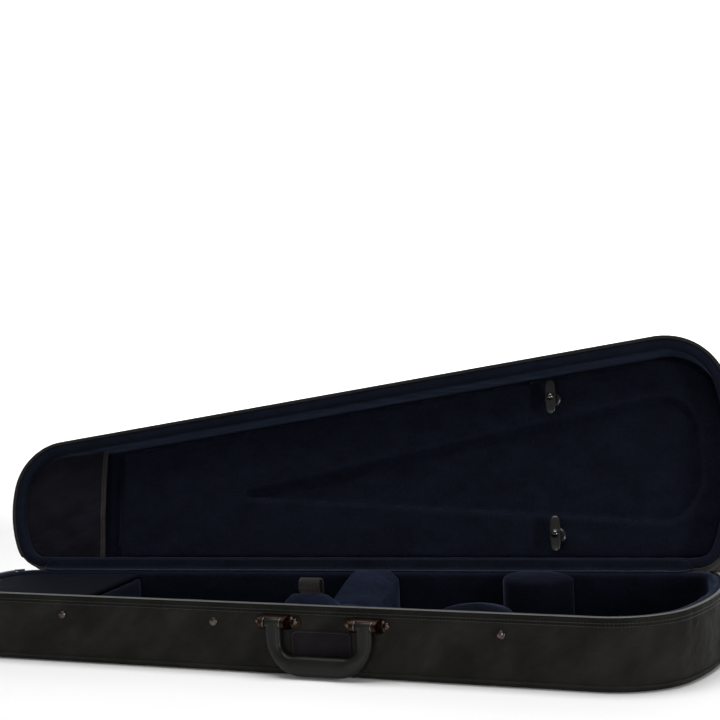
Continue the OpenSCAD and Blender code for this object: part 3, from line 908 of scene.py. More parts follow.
def stitch_row(path, inset, height, place):
    """Stitches along a path, each as a short raised thread."""
    spots = np.arange(ZIP_STITCH_PITCH, path.along[-1] - ZIP_STITCH_PITCH, ZIP_STITCH_PITCH)
    points, normals = path.at(spots)
    ahead = np.stack([-normals[:, 1], normals[:, 0], np.zeros(len(spots))], axis=1)
    centres = np.c_[points - normals * inset, np.full(len(spots), height)]
    verts, faces = capsules(centres, ahead, ZIP_STITCH_L, ZIP_STITCH_R)
    return moved(verts, place), faces


def thread_mesh(name, parts, body, slot):
    """Stitches as one piece."""
    verts, faces = joined(*parts)
    uvs = np.c_[verts[:, 0] + verts[:, 1], verts[:, 2]]
    return finish_mesh(name, verts, faces, THREAD, body, slot, uvs=uvs)


# how far in the underside and the lining are swept before their floors are filled
SKIRT = 26 * MM
# how far the cloth of the cover stands off its board at most, and how far round the patch it lies flat
PUCKER_MOST = 2.6 * MM
FLAT_ROUND_PATCH = 10 * MM
PIPING_R = 1.35 * MM
PIPING_TWIST = 3.2 * MM
ZIP_PITCH = 1.55 * MM
TOOTH_L = 3.1 * MM
TOOTH_R = 0.56 * MM
# inset of the plush wall, which stands a little inside the tray's wall
PLUSH_WALL = WALL + 0.4 * MM


class Tray:
    """The cloth and zip pieces of one half of the case.

    fillet is the radius where the plush wall meets its floor; swell is how far the outer panel bulges.
    """

    def __init__(self, name, h, place, seed, floor_panel, fillet, swell):
        self.name = name
        self.h = h
        self.place = place
        self.seed = seed
        self.floor_panel = floor_panel
        self.fillet = fillet
        self.swell = swell
        self.tape_low = h - TAPE_W

    def swept(self, piece, path, profile, material, slot, replaced, **more):
        """A piece of this half as a profile carried round a path, standing for one CAD node."""
        return sweep(f"{self.name}_{piece}", path, profile, material, self.name, slot, place=self.place,
                     replaces=[replaced], **more)

    def waves(self, number, u, v, count, u_length, v_length):
        """This half's own waves; the number tells one set from another."""
        return waves(u, v, self.seed + number, count, u_length, v_length)

    def pucker(self, along, height, inset):
        """How the cover's cloth stands off its board, most at mid height and less at the seams."""
        near_tape = np.exp(-np.abs(height - self.tape_low) / (7 * MM))
        near_seam = np.exp(-np.abs(height - SEAM_H) / (6 * MM))
        middle = smoothstep(height, SEAM_H, SEAM_H + 12 * MM)
        middle = middle * smoothstep(self.h - height, 2 * MM, 14 * MM)
        broad = self.waves(0, along, height, 6, 0.09, 0.06) + 0.5
        folds = self.waves(1, along + 0.6 * height, height, 7, 0.034, 0.04)
        creases = 1 - np.abs(self.waves(6, along - 0.8 * height, height, 4, 0.05, 0.05)) * 3
        fine = self.waves(2, along, height, 6, 0.010, 0.03)
        out = middle * (1.5 * broad + 1.5 * folds + 0.5 * np.clip(creases, 0, 1) + 0.25 * fine) * MM
        out = out + (near_tape + near_seam) * 0.45 * fine * MM
        if self.name == "base":
            from_patch = np.abs(along - PATCH_ALONG) - BADGE_W / 2
            out = out * smoothstep(from_patch, 0, FLAT_ROUND_PATCH)
        outer = inset < 0.5 * MM
        return np.where(outer, np.clip(out, -0.1 * MM, PUCKER_MOST), 0), 0 * height

    def ripple(self, along, height, inset):
        """How the zip tape waves in and out and along its free edge."""
        out = 0.25 * self.waves(3, along, height, 4, 0.02, 0.05) * MM
        lift = 0.25 * self.waves(4, along, height, 4, 0.035, 0.1) * MM
        lift = lift * smoothstep(-height, -self.h + 3 * MM, -self.tape_low)
        return np.where(inset < 0, out, 0), lift

    def slump(self, along, height, inset):
        """How the plush wall leans in and out, and its rim up and down."""
        side = smoothstep(height, WALL + 4 * MM, WALL + 16 * MM)
        soft = self.waves(5, along, height, 5, 0.07, 0.06)
        lean = -side * np.abs(soft) * 0.7 * MM
        return lean * (inset > 5 * MM), 0.3 * soft * MM * (height > self.h - RIM_PAD)

    def cover(self):
        """The cloth wall, with the thickness of its board."""
        low, high = SEAM_H + 1 * MM, self.h - 0.4 * MM
        outer = [(0, z) for z in np.linspace(low, high, 22)]
        inner = [(COVER_T, high), (COVER_T, low)]
        self.swept("cover_cloth", RIM, outer + inner, NYLON, "cloth", self.name + "_cover", ring=True,
                   wobble=self.pucker)

    def underside(self):
        """The outer panel, rounded up into the seam."""
        edge_r = SEAM_H
        flat_z, top = 2 * MM, SEAM_H + 1.4 * MM
        profile = [(SKIRT, flat_z), (COVER_T, flat_z), (COVER_T, top), (0.1 * MM, top)]
        profile += [(edge_r * (1 - math.cos(a)), edge_r * (1 - math.sin(a)))
                    for a in np.linspace(0, TAU / 4, 7)]
        profile += [(10 * MM, -0.2 * self.swell), (SKIRT, -0.6 * self.swell)]

        def bulge(x, y):
            broad = self.waves(7, x, y, 6, 0.12, 0.10)
            return -0.4 * self.swell - 0.35 * self.swell * (broad + 0.6 * self.waves(8, x, y, 6, 0.04, 0.05))

        self.swept("underside_cloth", RIM, profile, NYLON, "cloth", self.floor_panel, fill=bulge)

    def piping(self):
        """The cord sewn into the seam, with the lay of its strands."""
        def strands(along, height, inset):
            return 0.12 * MM * np.sin(TAU * along / PIPING_TWIST) + 0 * height, 0 * height

        bead = arc_profile((-0.35 * MM, SEAM_H + 1.1 * MM), PIPING_R, 0, -330, 12)
        self.swept("piping_cord", RIM, bead, NYLON, "cloth", self.name + "_piping", ring=True, wobble=strands)

    def zip_tape(self):
        """The tape down the wall and over the rim, with its two rows of stitches."""
        low, h = self.tape_low, self.h
        profile = [(0.3 * MM, low), (-0.75 * MM, low), (-1.0 * MM, low + 0.6 * MM)]
        profile += [(-0.95 * MM, z) for z in np.linspace(low + 2 * MM, h - 2 * MM, 5)]
        profile += [(-1.0 * MM, h - 0.7 * MM), (-0.5 * MM, h + 0.05 * MM), (2.2 * MM, h + 0.1 * MM)]
        profile += [(2.2 * MM, h - 0.5 * MM), (0.3 * MM, h - 0.5 * MM)]
        self.swept("zip_tape_cloth", ZIP, profile, TAPE, "zip_tape", self.name + "_zip_tape", closed=False,
                   ring=True, wobble=self.ripple)
        rows = [stitch_row(ZIP, -1.1 * MM, low + up, self.place) for up in ZIP_STITCH_ROWS]
        thread_mesh(self.name + "_zip_stitches", rows, self.name, "zip_tape")

    def zip_coil(self):
        """The coil's turns, as teeth across two cords that hold them."""
        spots = np.arange(ZIP_PITCH, ZIP.along[-1] - ZIP_PITCH, ZIP_PITCH)
        points, normals = ZIP.at(spots)
        outward = np.c_[normals, np.full(len(spots), 0.12)]
        centres = np.c_[points - normals * 0.75 * MM, np.full(len(spots), self.h + 0.95 * MM)]
        teeth = capsules(centres, outward, TOOTH_L, TOOTH_R, 8)
        cords = []
        for inset, up, r in ((-0.55 * MM, 0.75 * MM, 0.42 * MM), (1.9 * MM, 0.7 * MM, 0.4 * MM)):
            line = ZIP.inset(inset)[::2]
            cords.append(tube(np.c_[line, np.full(len(line), self.h + up)], r, 8))
        verts, faces = joined(teeth, *cords)
        finish_mesh(self.name + "_zip_coil_teeth", verts, faces, COIL[self.name], self.name, "zip_coil",
                    [self.name + "_zip_coil"], self.place)

    def lining(self):
        """The plush: behind the shell, over the rim, down the wall, round its fillet and across the floor."""
        h, fillet = self.h, self.fillet
        back, front = COVER_T + SHELL_T + 0.2 * MM, COVER_T + 0.2 * MM
        under, ledge = WALL - 2.2 * MM, h - RIM_PAD + 0.2 * MM
        profile = [(SKIRT, under), (back, under), (back, ledge), (front, ledge), (front, h - 1.0 * MM)]
        profile += [(3 * MM, h - 0.15 * MM), (5 * MM, h + 0.25 * MM), (7.5 * MM, h + 0.3 * MM)]
        profile += [(10 * MM, h - 0.1 * MM), (11.6 * MM, h - 1.3 * MM), (12.3 * MM, h - 3.5 * MM)]
        profile += [(PLUSH_WALL, z) for z in np.linspace(h - 7 * MM, WALL + fillet + 2 * MM, 9)]
        profile += [(PLUSH_WALL + fillet * (1 - math.cos(a)), WALL + fillet * (1 - math.sin(a)))
                    for a in np.linspace(0.2, TAU / 4, 7)]
        profile += [(SKIRT, WALL)]

        def uneven(x, y):
            return 0.6 * MM * self.waves(9, x, y, 6, 0.08, 0.07) - 0.5 * MM

        soft = self.swept("plush_lining", RIM, profile, PLUSH, "plush", self.name + "_lining",
                          wobble=self.slump, fill=uneven)

    def build(self):
        self.cover()
        self.underside()
        self.piping()
        self.zip_tape()
        self.zip_coil()
        self.lining()


Tray("base", BASE_H, IN_BASE, 11, "base_bottom_panel", 9 * MM, 0).build()
Tray("lid", LID_H, IN_LID, 31, "lid_top_panel", 4 * MM, 3 * MM).build()

# ---- Hinge cloths, shaped round the hinge with the lid open

HINGE_ROWS = 180
HINGE_ROUND_END = 14 * MM
HINGE_CLOTH_T = 0.9 * MM
HINGE_X = (
    narrow_corner[0] * math.cos(TAPER) + narrow_corner[1] * math.sin(TAPER) + 2 * MM,
    wide_corner[0] * math.cos(TAPER) + wide_corner[1] * math.sin(TAPER) - 2 * MM,
)


def hinge_cloth(name, middle, thickness, material, slot, replaces, seed):
    """A band of cloth along the hinge through (y, z) points, given thickness square to it."""
    middle = np.array(middle)
    xs = np.linspace(*HINGE_X, HINGE_ROWS)
    square = squares_of(middle)
    lengths = lengths_along(middle)
    lengths = np.concatenate([lengths, lengths[::-1] + thickness])
    rows, columns = len(xs), len(lengths)
    fold = middle[len(middle) // 2]
    verts = np.zeros((rows, columns, 3))
    verts[:, :, 0] = xs[:, None]
    for i, x in enumerate(xs):
        from_end = min(x - HINGE_X[0], HINGE_X[1] - x)
        share = math.sqrt(max(0.02, 1 - max(0, 1 - from_end / HINGE_ROUND_END) ** 2))
        spread = fold + (middle - fold) * share
        half = square * thickness / 2 * (0.3 + 0.7 * share)
        verts[i, :, 1:] = np.concatenate([spread + half, (spread - half)[::-1]])
    verts[:, :, 2] += waves(xs[:, None], lengths[None, :], seed, 5, 0.03, 0.02) * 0.25 * MM
    uvs = np.stack(np.broadcast_arrays(xs[:, None], lengths[None, :]), axis=2).reshape(-1, 2)
    obj = finish_mesh(name, verts.reshape(-1, 3), tube_faces(rows, columns), material, None, slot, replaces,
                      uvs=uvs)
    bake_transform(obj)


def lid_yz(inset, tray_z):
    """Where a point of the lid's hinge side is at rest, from its inset and its height in the tray."""
    point = moved([[0, HINGE_Y - inset, tray_z]], IN_LID)[0]
    return (point[1], point[2])


outer_band = [(HINGE_Y + 0.9 * MM, BASE_H - d * MM) for d in (11.5, 9, 6, 3, 1)]
outer_band += [(HINGE_Y + 1.6 * MM, BASE_H + 0.6 * MM)]
outer_band += [lid_yz(-0.9 * MM, LID_H - d * MM) for d in (1, 3, 6, 9, 11.5)]
hinge_cloth("hinge_cloth", outer_band, HINGE_CLOTH_T, NYLON, "cloth", ["hinge_cover_strip"],
            51)

inner_band = [(HINGE_Y - d * MM, BASE_H + 0.75 * MM) for d in (10, 8, 6, 4, 2)]
inner_band += [(HINGE_Y - 0.5 * MM, BASE_H + 1.5 * MM)]
inner_band += [lid_yz(d * MM, LID_H + 0.75 * MM) for d in (1, 2.5, 4.5, 6.5, 8.5, 10)]
hinge_cloth("hinge_plush_band", inner_band, HINGE_CLOTH_T, PLUSH, "plush", ["hinge_plush_strip"],
            52)

# ---- Padded blocks in the base


# how coarse the skin of a padded block is, how far it swells, and the lowest it goes into the lining
BLOCK_VOXEL = 2.6 * MM
BLOCK_SWELL = 2.0 * MM
BOARD_SWELL = 0.8 * MM
PAD_FLOOR = WALL - 1 * MM


def neck_half(name, way, top, node):
    """One half of the neck block, which slopes up to a ridge by the wall; way is -1 at the handle side."""
    profile = [(0.8 * MM, WALL + 0.5 * MM), (0.8 * MM, NECK_REST_Z - 1 * MM),
               (NECK_GAP / 2 + 1 * MM, NECK_REST_Z - 1 * MM), (NECK_RIDGE_Y, top - 0.4 * MM),
               (NECK_WALL_Y - 3 * MM, BASE_H + 2.5 * MM), (NECK_WALL_Y - 1 * MM, BASE_H - 2 * MM),
               (NECK_WALL_Y - 1 * MM, WALL + 0.5 * MM)]
    long, short = NECK_BLOCK_LOW / 2 - 1.2 * MM, NECK_BLOCK_HIGH / 2 - 0.6 * MM
    stations = ((-long, top - NECK_SHOULDER), (-short, top), (short, top), (long, top - NECK_SHOULDER))
    verts = [(NECK_S + s, way * y, min(z, limit)) for s, limit in stations for y, z in profile]
    faces = tube_faces(len(stations), len(profile))
    if way < 0:
        faces = flipped(faces)
    soft_block(name, [(np.array(verts), faces)], LIT_BLOCK_PLUSH, [node], BLOCK_VOXEL, BLOCK_SWELL, CENTRE_LINE,
               floor=PAD_FLOOR, smooth=4)


neck_half("neck_block_front_pad", -1, NECK_FRONT_Z, "neck_block_front")
neck_half("neck_block_back_pad", 1, NECK_BACK_Z, "neck_block_back")


def waist_pad(name, way, node):
    """A half-round pad with a low dome against the wall at the waist."""
    wall_y = way * (SIDE_Y / math.cos(TAPER) - WALL + WAIST_S * math.tan(TAPER) - 1.5 * MM)
    r = WAIST_PAD_R - 1.5 * MM
    profile = [(r, WALL + 0.5 * MM), (r, WAIST_Z - WAIST_DOME - 8 * MM)]
    profile += [(r * math.cos(a), WAIST_Z - 1 * MM - WAIST_DOME * (1 - math.sin(a)))
                for a in np.linspace(0, TAU / 4 * 0.97, 8)]
    angles = np.linspace(0, TAU / 2, 33)
    verts = []
    for a in angles:
        for radius, z in profile:
            drop = max(0, z - BASE_H + 3 * MM) * (1 - smoothstep(radius * math.sin(a), 0, 5 * MM)) * 0.6
            verts.append((WAIST_S + radius * math.cos(a), wall_y - way * radius * math.sin(a), z - drop))
    count = len(profile)
    last = len(angles) - 1
    faces = grid_faces(len(angles), count)
    faces.append(tuple(i * count for i in reversed(range(last + 1))))
    faces.append(tuple(i * count + count - 1 for i in range(last + 1)))
    faces.append(tuple(range(count)) + tuple(last * count + j for j in reversed(range(count))))
    if way < 0:
        faces = flipped(faces)
    soft_block(name, [(np.array(verts), faces)], PLUSH, [node], BLOCK_VOXEL, BLOCK_SWELL, CENTRE_LINE,
               floor=PAD_FLOOR, smooth=5)


waist_pad("front_waist_cushion", -1, "front_waist_pad")
waist_pad("back_waist_cushion", 1, "back_waist_pad")

inner_edge = RIM.inset(WALL - 0.5 * MM)
divider_plan = clipped(inner_edge, 0, DIVIDER_X + DIVIDER_T - 0.4 * MM, True)
divider_plan = clipped(divider_plan, 0, DIVIDER_X + 0.4 * MM, False)
soft_block("compartment_divider_pad", [prism(divider_plan, WALL, FLAP_TOP - FLAP_T - 1 * MM)], PLUSH,
           ["compartment_divider"], 2 * MM, BOARD_SWELL)

flap_plan = clipped(RIM.inset(WALL + 2.2 * MM), 0, DIVIDER_X + DIVIDER_T - 0.6 * MM, True)
flap_shape = prism(flap_plan, FLAP_TOP - FLAP_T + 0.3 * MM, FLAP_TOP - 0.4 * MM)
soft_block("accessory_flap", [flap_shape], SHADED_FLAP_PLUSH, ["flap_board", "flap_plush"], 1.6 * MM, BOARD_SWELL,
           body="flap")

# ---- Neck strap: a loop of webbing with its feet sewn down


def rounded_line(corners, rounds=3):
    """A line with its corners cut again and again until they are round."""
    line = np.array(corners, float)
    for _ in range(rounds):
        cut = [line[0]]
        for a, b in zip(line, line[1:]):
            cut.extend((a * 0.75 + b * 0.25, a * 0.25 + b * 0.75))
        cut.append(line[-1])
        line = np.array(cut)
    return line


def ribbon(line, width, thickness, seed):
    """A woven band with thick selvedges along a (y, z) line; its width lies along x."""
    square = squares_of(line)
    along = lengths_along(line)
    section = super_ring(width / 2, thickness / 2, 5, 28)
    section[:, 1] *= 1 + 0.25 * smoothstep(np.abs(section[:, 0]), width * 0.4, width * 0.48)
    sides = len(section)
    verts = np.zeros((len(line), sides, 3))
    verts[:, :, 0] = section[None, :, 0] + 0.25 * MM * waves(along[:, None], 0, seed, 3, 0.03, 1)
    verts[:, :, 1:] = line[:, None, :] + square[:, None, :] * section[None, :, 1:2]
    uvs = np.stack([np.repeat(along[:, None], sides, 1), verts[:, :, 0]], axis=2).reshape(-1, 2)
    return verts.reshape(-1, 3), flipped(tube_faces(len(line), sides)), uvs, along[-1]


def slope_z(y):
    """Height of the front half's inner slope at a distance y from the centre line."""
    return NECK_FRONT_Z - (NECK_RIDGE_Y - y) * math.tan(NECK_SLOPE)


def strap_loop():
    """The strap: a foot on the slope, up into a standing loop, and down to a foot at the ridge."""
    lift = STRAP_T / 2
    r = STRAP_LOOP_R - STRAP_T / 2
    top = NECK_FRONT_Z + STRAP_LOOP_H - STRAP_LOOP_R
    inner, outer = STRAP_Y - r, STRAP_Y + r

    def lying(y):
        return y, slope_z(y) + lift

    line = [lying(TAB_Y[1] - 3 * MM), lying(inner - 1 * MM)]
    line += [(inner, slope_z(inner) + 2.5 * MM), (inner, top - 2 * MM)]
    line += [(STRAP_Y - r * math.cos(a), top + r * math.sin(a)) for a in np.linspace(0, TAU / 2, 9)]
    line += [(outer, top - 2 * MM), (outer, slope_z(outer) + 2.5 * MM)]
    line += [lying(outer - 1 * MM), lying(STRAP_Y - 3 * MM)]
    line = rounded_line([(-y, z) for y, z in line])
    verts, faces, uvs, length = ribbon(line, STRAP_W, STRAP_T, 61)
    place = CENTRE_LINE @ Matrix.Translation((NECK_S, 0, 0))
    obj = finish_mesh("neck_strap_webbing", verts, faces, WEBBING, "base", "pocket_cloth", ["neck_strap"],
                      place, uvs)


strap_loop()


def box_stitches(width, length, height, pitch=2.2 * MM):
    """A stitched rectangle with a cross in it, on the plane z = height."""
    a, b = width / 2, length / 2
    corners = [(-a, -b), (a, -b), (a, b), (-a, b)]
    runs = [(corners[i], corners[(i + 1) % 4]) for i in range(4)]
    runs += [(corners[0], corners[2]), (corners[1], corners[3])]
    centres, ways = [], []
    for a, b in runs:
        a, b = np.array(a), np.array(b)
        span = np.linalg.norm(b - a)
        for i in range(int(span / pitch)):
            spot = a + (b - a) * (i + 0.5) * pitch / span
            centres.append((*spot, height))
            ways.append((*(b - a), 0))
    return capsules(centres, ways, pitch * 0.8, 0.3 * MM)


tabs, tab_stitches = [], []
for y in TAB_Y:
    on_slope = CENTRE_LINE @ Matrix.Translation((NECK_S, -y, slope_z(y)))
    on_slope = on_slope @ Matrix.Rotation(-NECK_SLOPE, 4, "X")
    low = STRAP_T + 0.05 * MM
    verts, faces = prism(super_ring(8.5 * MM, TAB_L / 2, 8, 32), low, low + 0.8 * MM)
    tabs.append((moved(verts, on_slope), faces))
    verts, faces = box_stitches(13 * MM, 5 * MM, low + 0.85 * MM)
    tab_stitches.append((moved(verts, on_slope), faces))
verts, faces = joined(*tabs)
anchors = finish_mesh("strap_end_tabs", verts, faces, WEBBING, "base", "pocket_cloth", ["strap_anchors"],
                      uvs=verts[:, :2], flat=True)
bevelled(anchors, 0.3 * MM)
thread_mesh("strap_stitches", tab_stitches, "base", "pocket_cloth")

# ---- Rivets, bridges and handle, drawn on the handle side

# lays a piece drawn along z outwards from the handle side
OUTWARD = Matrix.Rotation(math.pi / 2, 4, "X")


def rivet_shape(diameter, x, out, z):
    """A domed rivet with a rolled edge, its shank going into the wall."""
    r = diameter / 2
    dome = [(r * math.sin(a), r * 0.42 * math.cos(a) + 0.28 * r) for a in np.linspace(TAU / 4, 0, 9)]
    profile = [(0, -1.2 * MM), (r * 0.45, -1.2 * MM), (r * 0.45, 0), (r * 0.98, 0), (r * 1.04, 0.12 * r)]
    profile += dome[:-1] + [(0, dome[-1][1])]
    verts, faces = lathe(profile)
    place = HANDLE_SIDE @ Matrix.Translation((x, -out, z)) @ OUTWARD
    return moved(verts, place), faces


def metal_piece(name, parts, material, replaces, body="base"):
    """A metal piece, shaded smooth but for its sharp edges."""
    verts, faces = joined(*parts)
    obj = finish_mesh(name, verts, faces, material, body, "metal", replaces, flat=True)
    obj.data.shade_smooth()
    obj.data.set_sharp_from_angle(angle=math.radians(50))
    return obj


metal_piece("side_rivets", [rivet_shape(RIVET_D, x, 0, RIVET_Z) for x in RIVET_X], NICKEL, ["cover_rivets"])
bridge_spots = [HANDLE_X + way * LEG_GAP / 2 + end * BRIDGE_RIVET_X for way in (-1, 1) for end in (-1, 1)]
metal_piece("bridge_rivet_heads", [rivet_shape(BRIDGE_RIVET_D, x, BRIDGE_T, PIVOT_Z) for x in bridge_spots],
            NICKEL, ["bridge_rivets"])


def bridge_shape(centre_x):
    """A pressed saddle over a lug, open in front for the swinging leg, with a round foot at each end."""
    slot = LEG_W / 2 + 0.7 * MM
    foot_r = 6 * MM
    half = BRIDGE_RIVET_X + foot_r
    reach = PIVOT_OUT + PIVOT_R + BRIDGE_T
    tall = PIVOT_R + BRIDGE_T + 1.0 * MM
    beside = slot + 0.02 * MM
    xs = np.unique(np.concatenate([np.linspace(-half, half, 61), [-slot, slot, -beside, beside]]))
    rows = 25

    def section(x, shrink):
        away = abs(x)
        drop = smoothstep(away, LUG_X - 0.4 * MM, LUG_X + 2.6 * MM)
        out = max(reach + (BRIDGE_T - reach) * drop - shrink, 0.1 * MM)
        round_end = math.sqrt(max(0.01, 1 - (max(0, away - BRIDGE_RIVET_X) / foot_r) ** 2))
        up = max((tall + (foot_r - tall) * drop) * round_end - shrink * (1 - drop), 0.3 * MM)
        end = math.radians(43 if away < slot else 178)
        angles = np.linspace(math.radians(2), end, rows)
        return [(centre_x + x, -out * math.sin(a), PIVOT_Z + up * math.cos(a)) for a in angles]

    skins = [[spot for x in xs for spot in section(x, shrink)] for shrink in (0, BRIDGE_T - 0.2 * MM)]
    saddle = (np.concatenate(skins), slab_faces(len(xs), rows))
    sides = [section(end * (slot + 0.1 * MM), 0.4 * MM)[5:-1] for end in (-1, 1)]
    front = [(centre_x + x, *section(x * 0.98, 0.4 * MM)[-1][1:]) for x in np.linspace(-slot, slot, 12)]
    rolled = [tube(edge, 0.65 * MM, 8) for edge in (*sides, front)]
    verts, faces = joined(saddle, *rolled)
    return moved(verts, HANDLE_SIDE), faces


for side, way in (("left", -1), ("right", 1)):
    shape = bridge_shape(HANDLE_X + way * LEG_GAP / 2)
    metal_piece(side + "_bridge_strap", [shape], WARM_METAL, [side + "_handle_bridge"])


# how full the last sections of each leg are, from its end
END_ROUNDING = (0.45, 0.8, 0.95)


def handle_shape():
    """Two legs, two bends and a deeper grip, as one section carried along a U, with lugs at the pivots."""
    half_outer, half_inner = (LEG_GAP + LEG_W) / 2, (LEG_GAP - LEG_W) / 2

    def bend(half_w, low, r, angle):
        """A point on the U's left corner."""
        return np.array([-half_w + r - r * math.cos(angle), low + r - r * math.sin(angle)])

    def edges(angle):
        """The U's outer and inner edge at a turn into the bend."""
        return (bend(half_outer, GRIP_LOW, OUTER_BEND_R, angle),
                bend(half_inner, GRIP_LOW + GRIP_H, INNER_BEND_R, angle))

    def between(a, b, share):
        return tuple(p + (q - p) * share for p, q in zip(a, b))

    top = PIVOT_Z + 4.8 * MM
    tops = (np.array([-half_outer, top]), np.array([-half_inner, top]))
    low = edges(TAU / 4)
    middle = (np.array([0, low[0][1]]), np.array([0, low[1][1]]))
    left = [(*between(tops, edges(0), t), 0.0) for t in np.linspace(0, 1, 12)]
    left += [(*edges(math.radians(a)), smoothstep(a, 8, 84)) for a in np.linspace(0, 90, 18)[1:]]
    left += [(*between(low, middle, t), 1.0) for t in np.linspace(0, 1, 7)[1:-1]]
    mirror = np.array([-1, 1])
    right = [(outer * mirror, inner * mirror, grip) for outer, inner, grip in reversed(left)]
    stations = left + [(*middle, 1.0)] + right
    sides = 36
    rings = []
    count = len(stations)
    for i, (outer, inner, grip) in enumerate(stations):
        centre, half = (outer + inner) / 2, (outer - inner) / 2
        a = np.linalg.norm(half)
        b = LEG_T / 2 + (GRIP_T - LEG_T) / 2 * grip
        out = PIVOT_OUT + (GRIP_OUT - PIVOT_OUT) * grip
        end = min(i, count - 1 - i)
        cap = END_ROUNDING[end] if end < len(END_ROUNDING) else 1.0
        ring = super_ring(a * cap, b * cap, 2.6 - 0.2 * grip, sides)
        seam = np.exp(-((np.abs(ring[:, 1]) / (0.5 * MM)) ** 2)) * 0.18 * MM
        ring[:, 0] += np.sign(ring[:, 0]) * seam
        for p, q in ring:
            x, z = centre + half * p / a
            rings.append((HANDLE_X + x, -out - q, z))
    body = (np.array(rings), tube_faces(count, sides))
    lug_half = LUG_X - 0.2 * MM
    r = PIVOT_R
    profile = [(0, -lug_half), (r - 0.8 * MM, -lug_half), (r, -lug_half + 0.8 * MM), (r, lug_half - 0.8 * MM),
               (r - 0.8 * MM, lug_half), (0, lug_half)]
    lugs = []
    for way in (-1, 1):
        verts, lug_faces = lathe(profile, 32)
        pivot = Matrix.Translation((HANDLE_X + way * LEG_GAP / 2, -PIVOT_OUT, PIVOT_Z))
        lugs.append((moved(verts, pivot @ Matrix.Rotation(TAU / 4, 4, "Y")), lug_faces))
    return joined(body, *lugs)


verts, faces = handle_shape()
handle = finish_mesh("moulded_handle", verts, faces, HANDLE_GLOSS, "handle", "handle_plastic", ["handle"],
                     HANDLE_SIDE)
handle.data.set_sharp_from_angle(angle=math.radians(55))

# ---- Blank stitched patch behind the handle

CORNER_POWER = 9
PATCH_FRONT = BADGE_T + 0.1 * MM
PATCH_STITCH_IN = 1.8 * MM
PATCH_STITCH_PITCH = 2.6 * MM

ON_WALL = HANDLE_SIDE @ Matrix.Translation((BADGE_X, -0.1 * MM, BADGE_Z)) @ OUTWARD
verts, faces = prism(super_ring(BADGE_W / 2, BADGE_H / 2, CORNER_POWER, 64), 0, PATCH_FRONT)
patch = finish_mesh("blank_patch", verts, faces, BADGE_CLOTH, "base", "pocket_cloth", ["badge_patch"],
                    ON_WALL, uvs=verts[:, :2], flat=True)
bevelled(patch, 0.35 * MM)

edge = super_ring(BADGE_W / 2 - PATCH_STITCH_IN, BADGE_H / 2 - PATCH_STITCH_IN, CORNER_POWER, 64)
edge = np.concatenate([edge, edge[:1]])
steps = lengths_along(edge)
spots = at_distances(np.arange(0, steps[-1], PATCH_STITCH_PITCH), steps, edge)
ways = np.roll(spots, -1, axis=0) - np.roll(spots, 1, axis=0)
centres = np.c_[spots, np.full(len(spots), PATCH_FRONT + 0.05 * MM)]
verts, faces = capsules(centres, np.c_[ways, np.zeros(len(spots))], 1.9 * MM, 0.26 * MM)
thread_mesh("patch_stitches", [(moved(verts, ON_WALL), faces)], "base", "pocket_cloth")

# ---- Zip sliders and pulls


def on_end(centre, end_r, angle):
    """A place on a round end: x outwards, y along the rim."""
    return (
        CENTRE_LINE
        @ Matrix.Translation((centre[0], 0, 0))
        @ Matrix.Rotation(angle, 4, "Z")
        @ Matrix.Translation((end_r + 0.9 * MM, 0, 0))
    )


# heights and widths of a pillow-edged box's rings, as shares of its half size
BOX_RINGS = ((-1.0, 0.72), (-0.88, 0.93), (-0.6, 1.0), (0.6, 1.0), (0.88, 0.93), (1.0, 0.72))


def rounded_box(low, high):
    """A closed pillow-edged box between two corners, built from rings stacked along z."""
    low, high = np.array(low), np.array(high)
    centre, half = (low + high) / 2, (high - low) / 2
    sides = 24
    verts = []
    for z, share in BOX_RINGS:
        ring = super_ring(half[0] * share, half[1] * share, 6, sides)
        verts.extend((centre[0] + p, centre[1] + q, centre[2] + half[2] * z) for p, q in ring)
    return np.array(verts), flipped(tube_faces(len(BOX_RINGS), sides))


def slider_shape():
    """A zip slider: a waisted body with a loop for the pull's pin."""
    body = rounded_box((0.1 * MM, -5.5 * MM, SLIDER_Z - 3.5 * MM), (3.4 * MM, 5.5 * MM, SLIDER_Z + 2 * MM))
    low, high = SLIDER_Z - 1.8 * MM, SLIDER_Z + 1.8 * MM
    cheeks = [rounded_box((3.0 * MM, y - 0.75 * MM, low), (6.6 * MM, y + 0.75 * MM, high))
              for y in (-2 * MM, 2 * MM)]
    return joined(body, *cheeks)


def pull_shape():
    """A flat pull with a window, hung from a pin."""
    count = 40
    outer = super_ring(3 * MM, 9.8 * MM, 5, count)
    outer[:, 0] *= 1 - 0.18 * smoothstep(outer[:, 1], 0, 9.8 * MM)
    window = super_ring(1.7 * MM, 5.2 * MM, 4, count)
    verts, rings = [], []
    for ring, out in ((outer, 0.8), (outer, -0.8), (window, -0.8), (window, 0.8)):
        rings.append(len(verts))
        verts.extend((out * MM, p, q - 14.2 * MM) for p, q in ring)
    faces = []
    for a, b in ((0, 1), (1, 2), (2, 3), (3, 0)):
        for j in range(count):
            k = (j + 1) % count
            faces.append((rings[a] + k, rings[a] + j, rings[b] + j, rings[b] + k))
    neck = rounded_box((-0.8 * MM, -1 * MM, -5.2 * MM), (0.8 * MM, 1 * MM, 0.9 * MM))
    pin = tube([(0, -3.4 * MM, 0), (0, -3.2 * MM, 0), (0, 3.2 * MM, 0), (0, 3.4 * MM, 0)],
               np.array([0.6, 0.9, 0.9, 0.6]) * MM, 16)
    verts, faces = joined((np.array(verts), faces), neck, pin)
    return verts + np.array([5.0 * MM, 0, SLIDER_Z]), faces


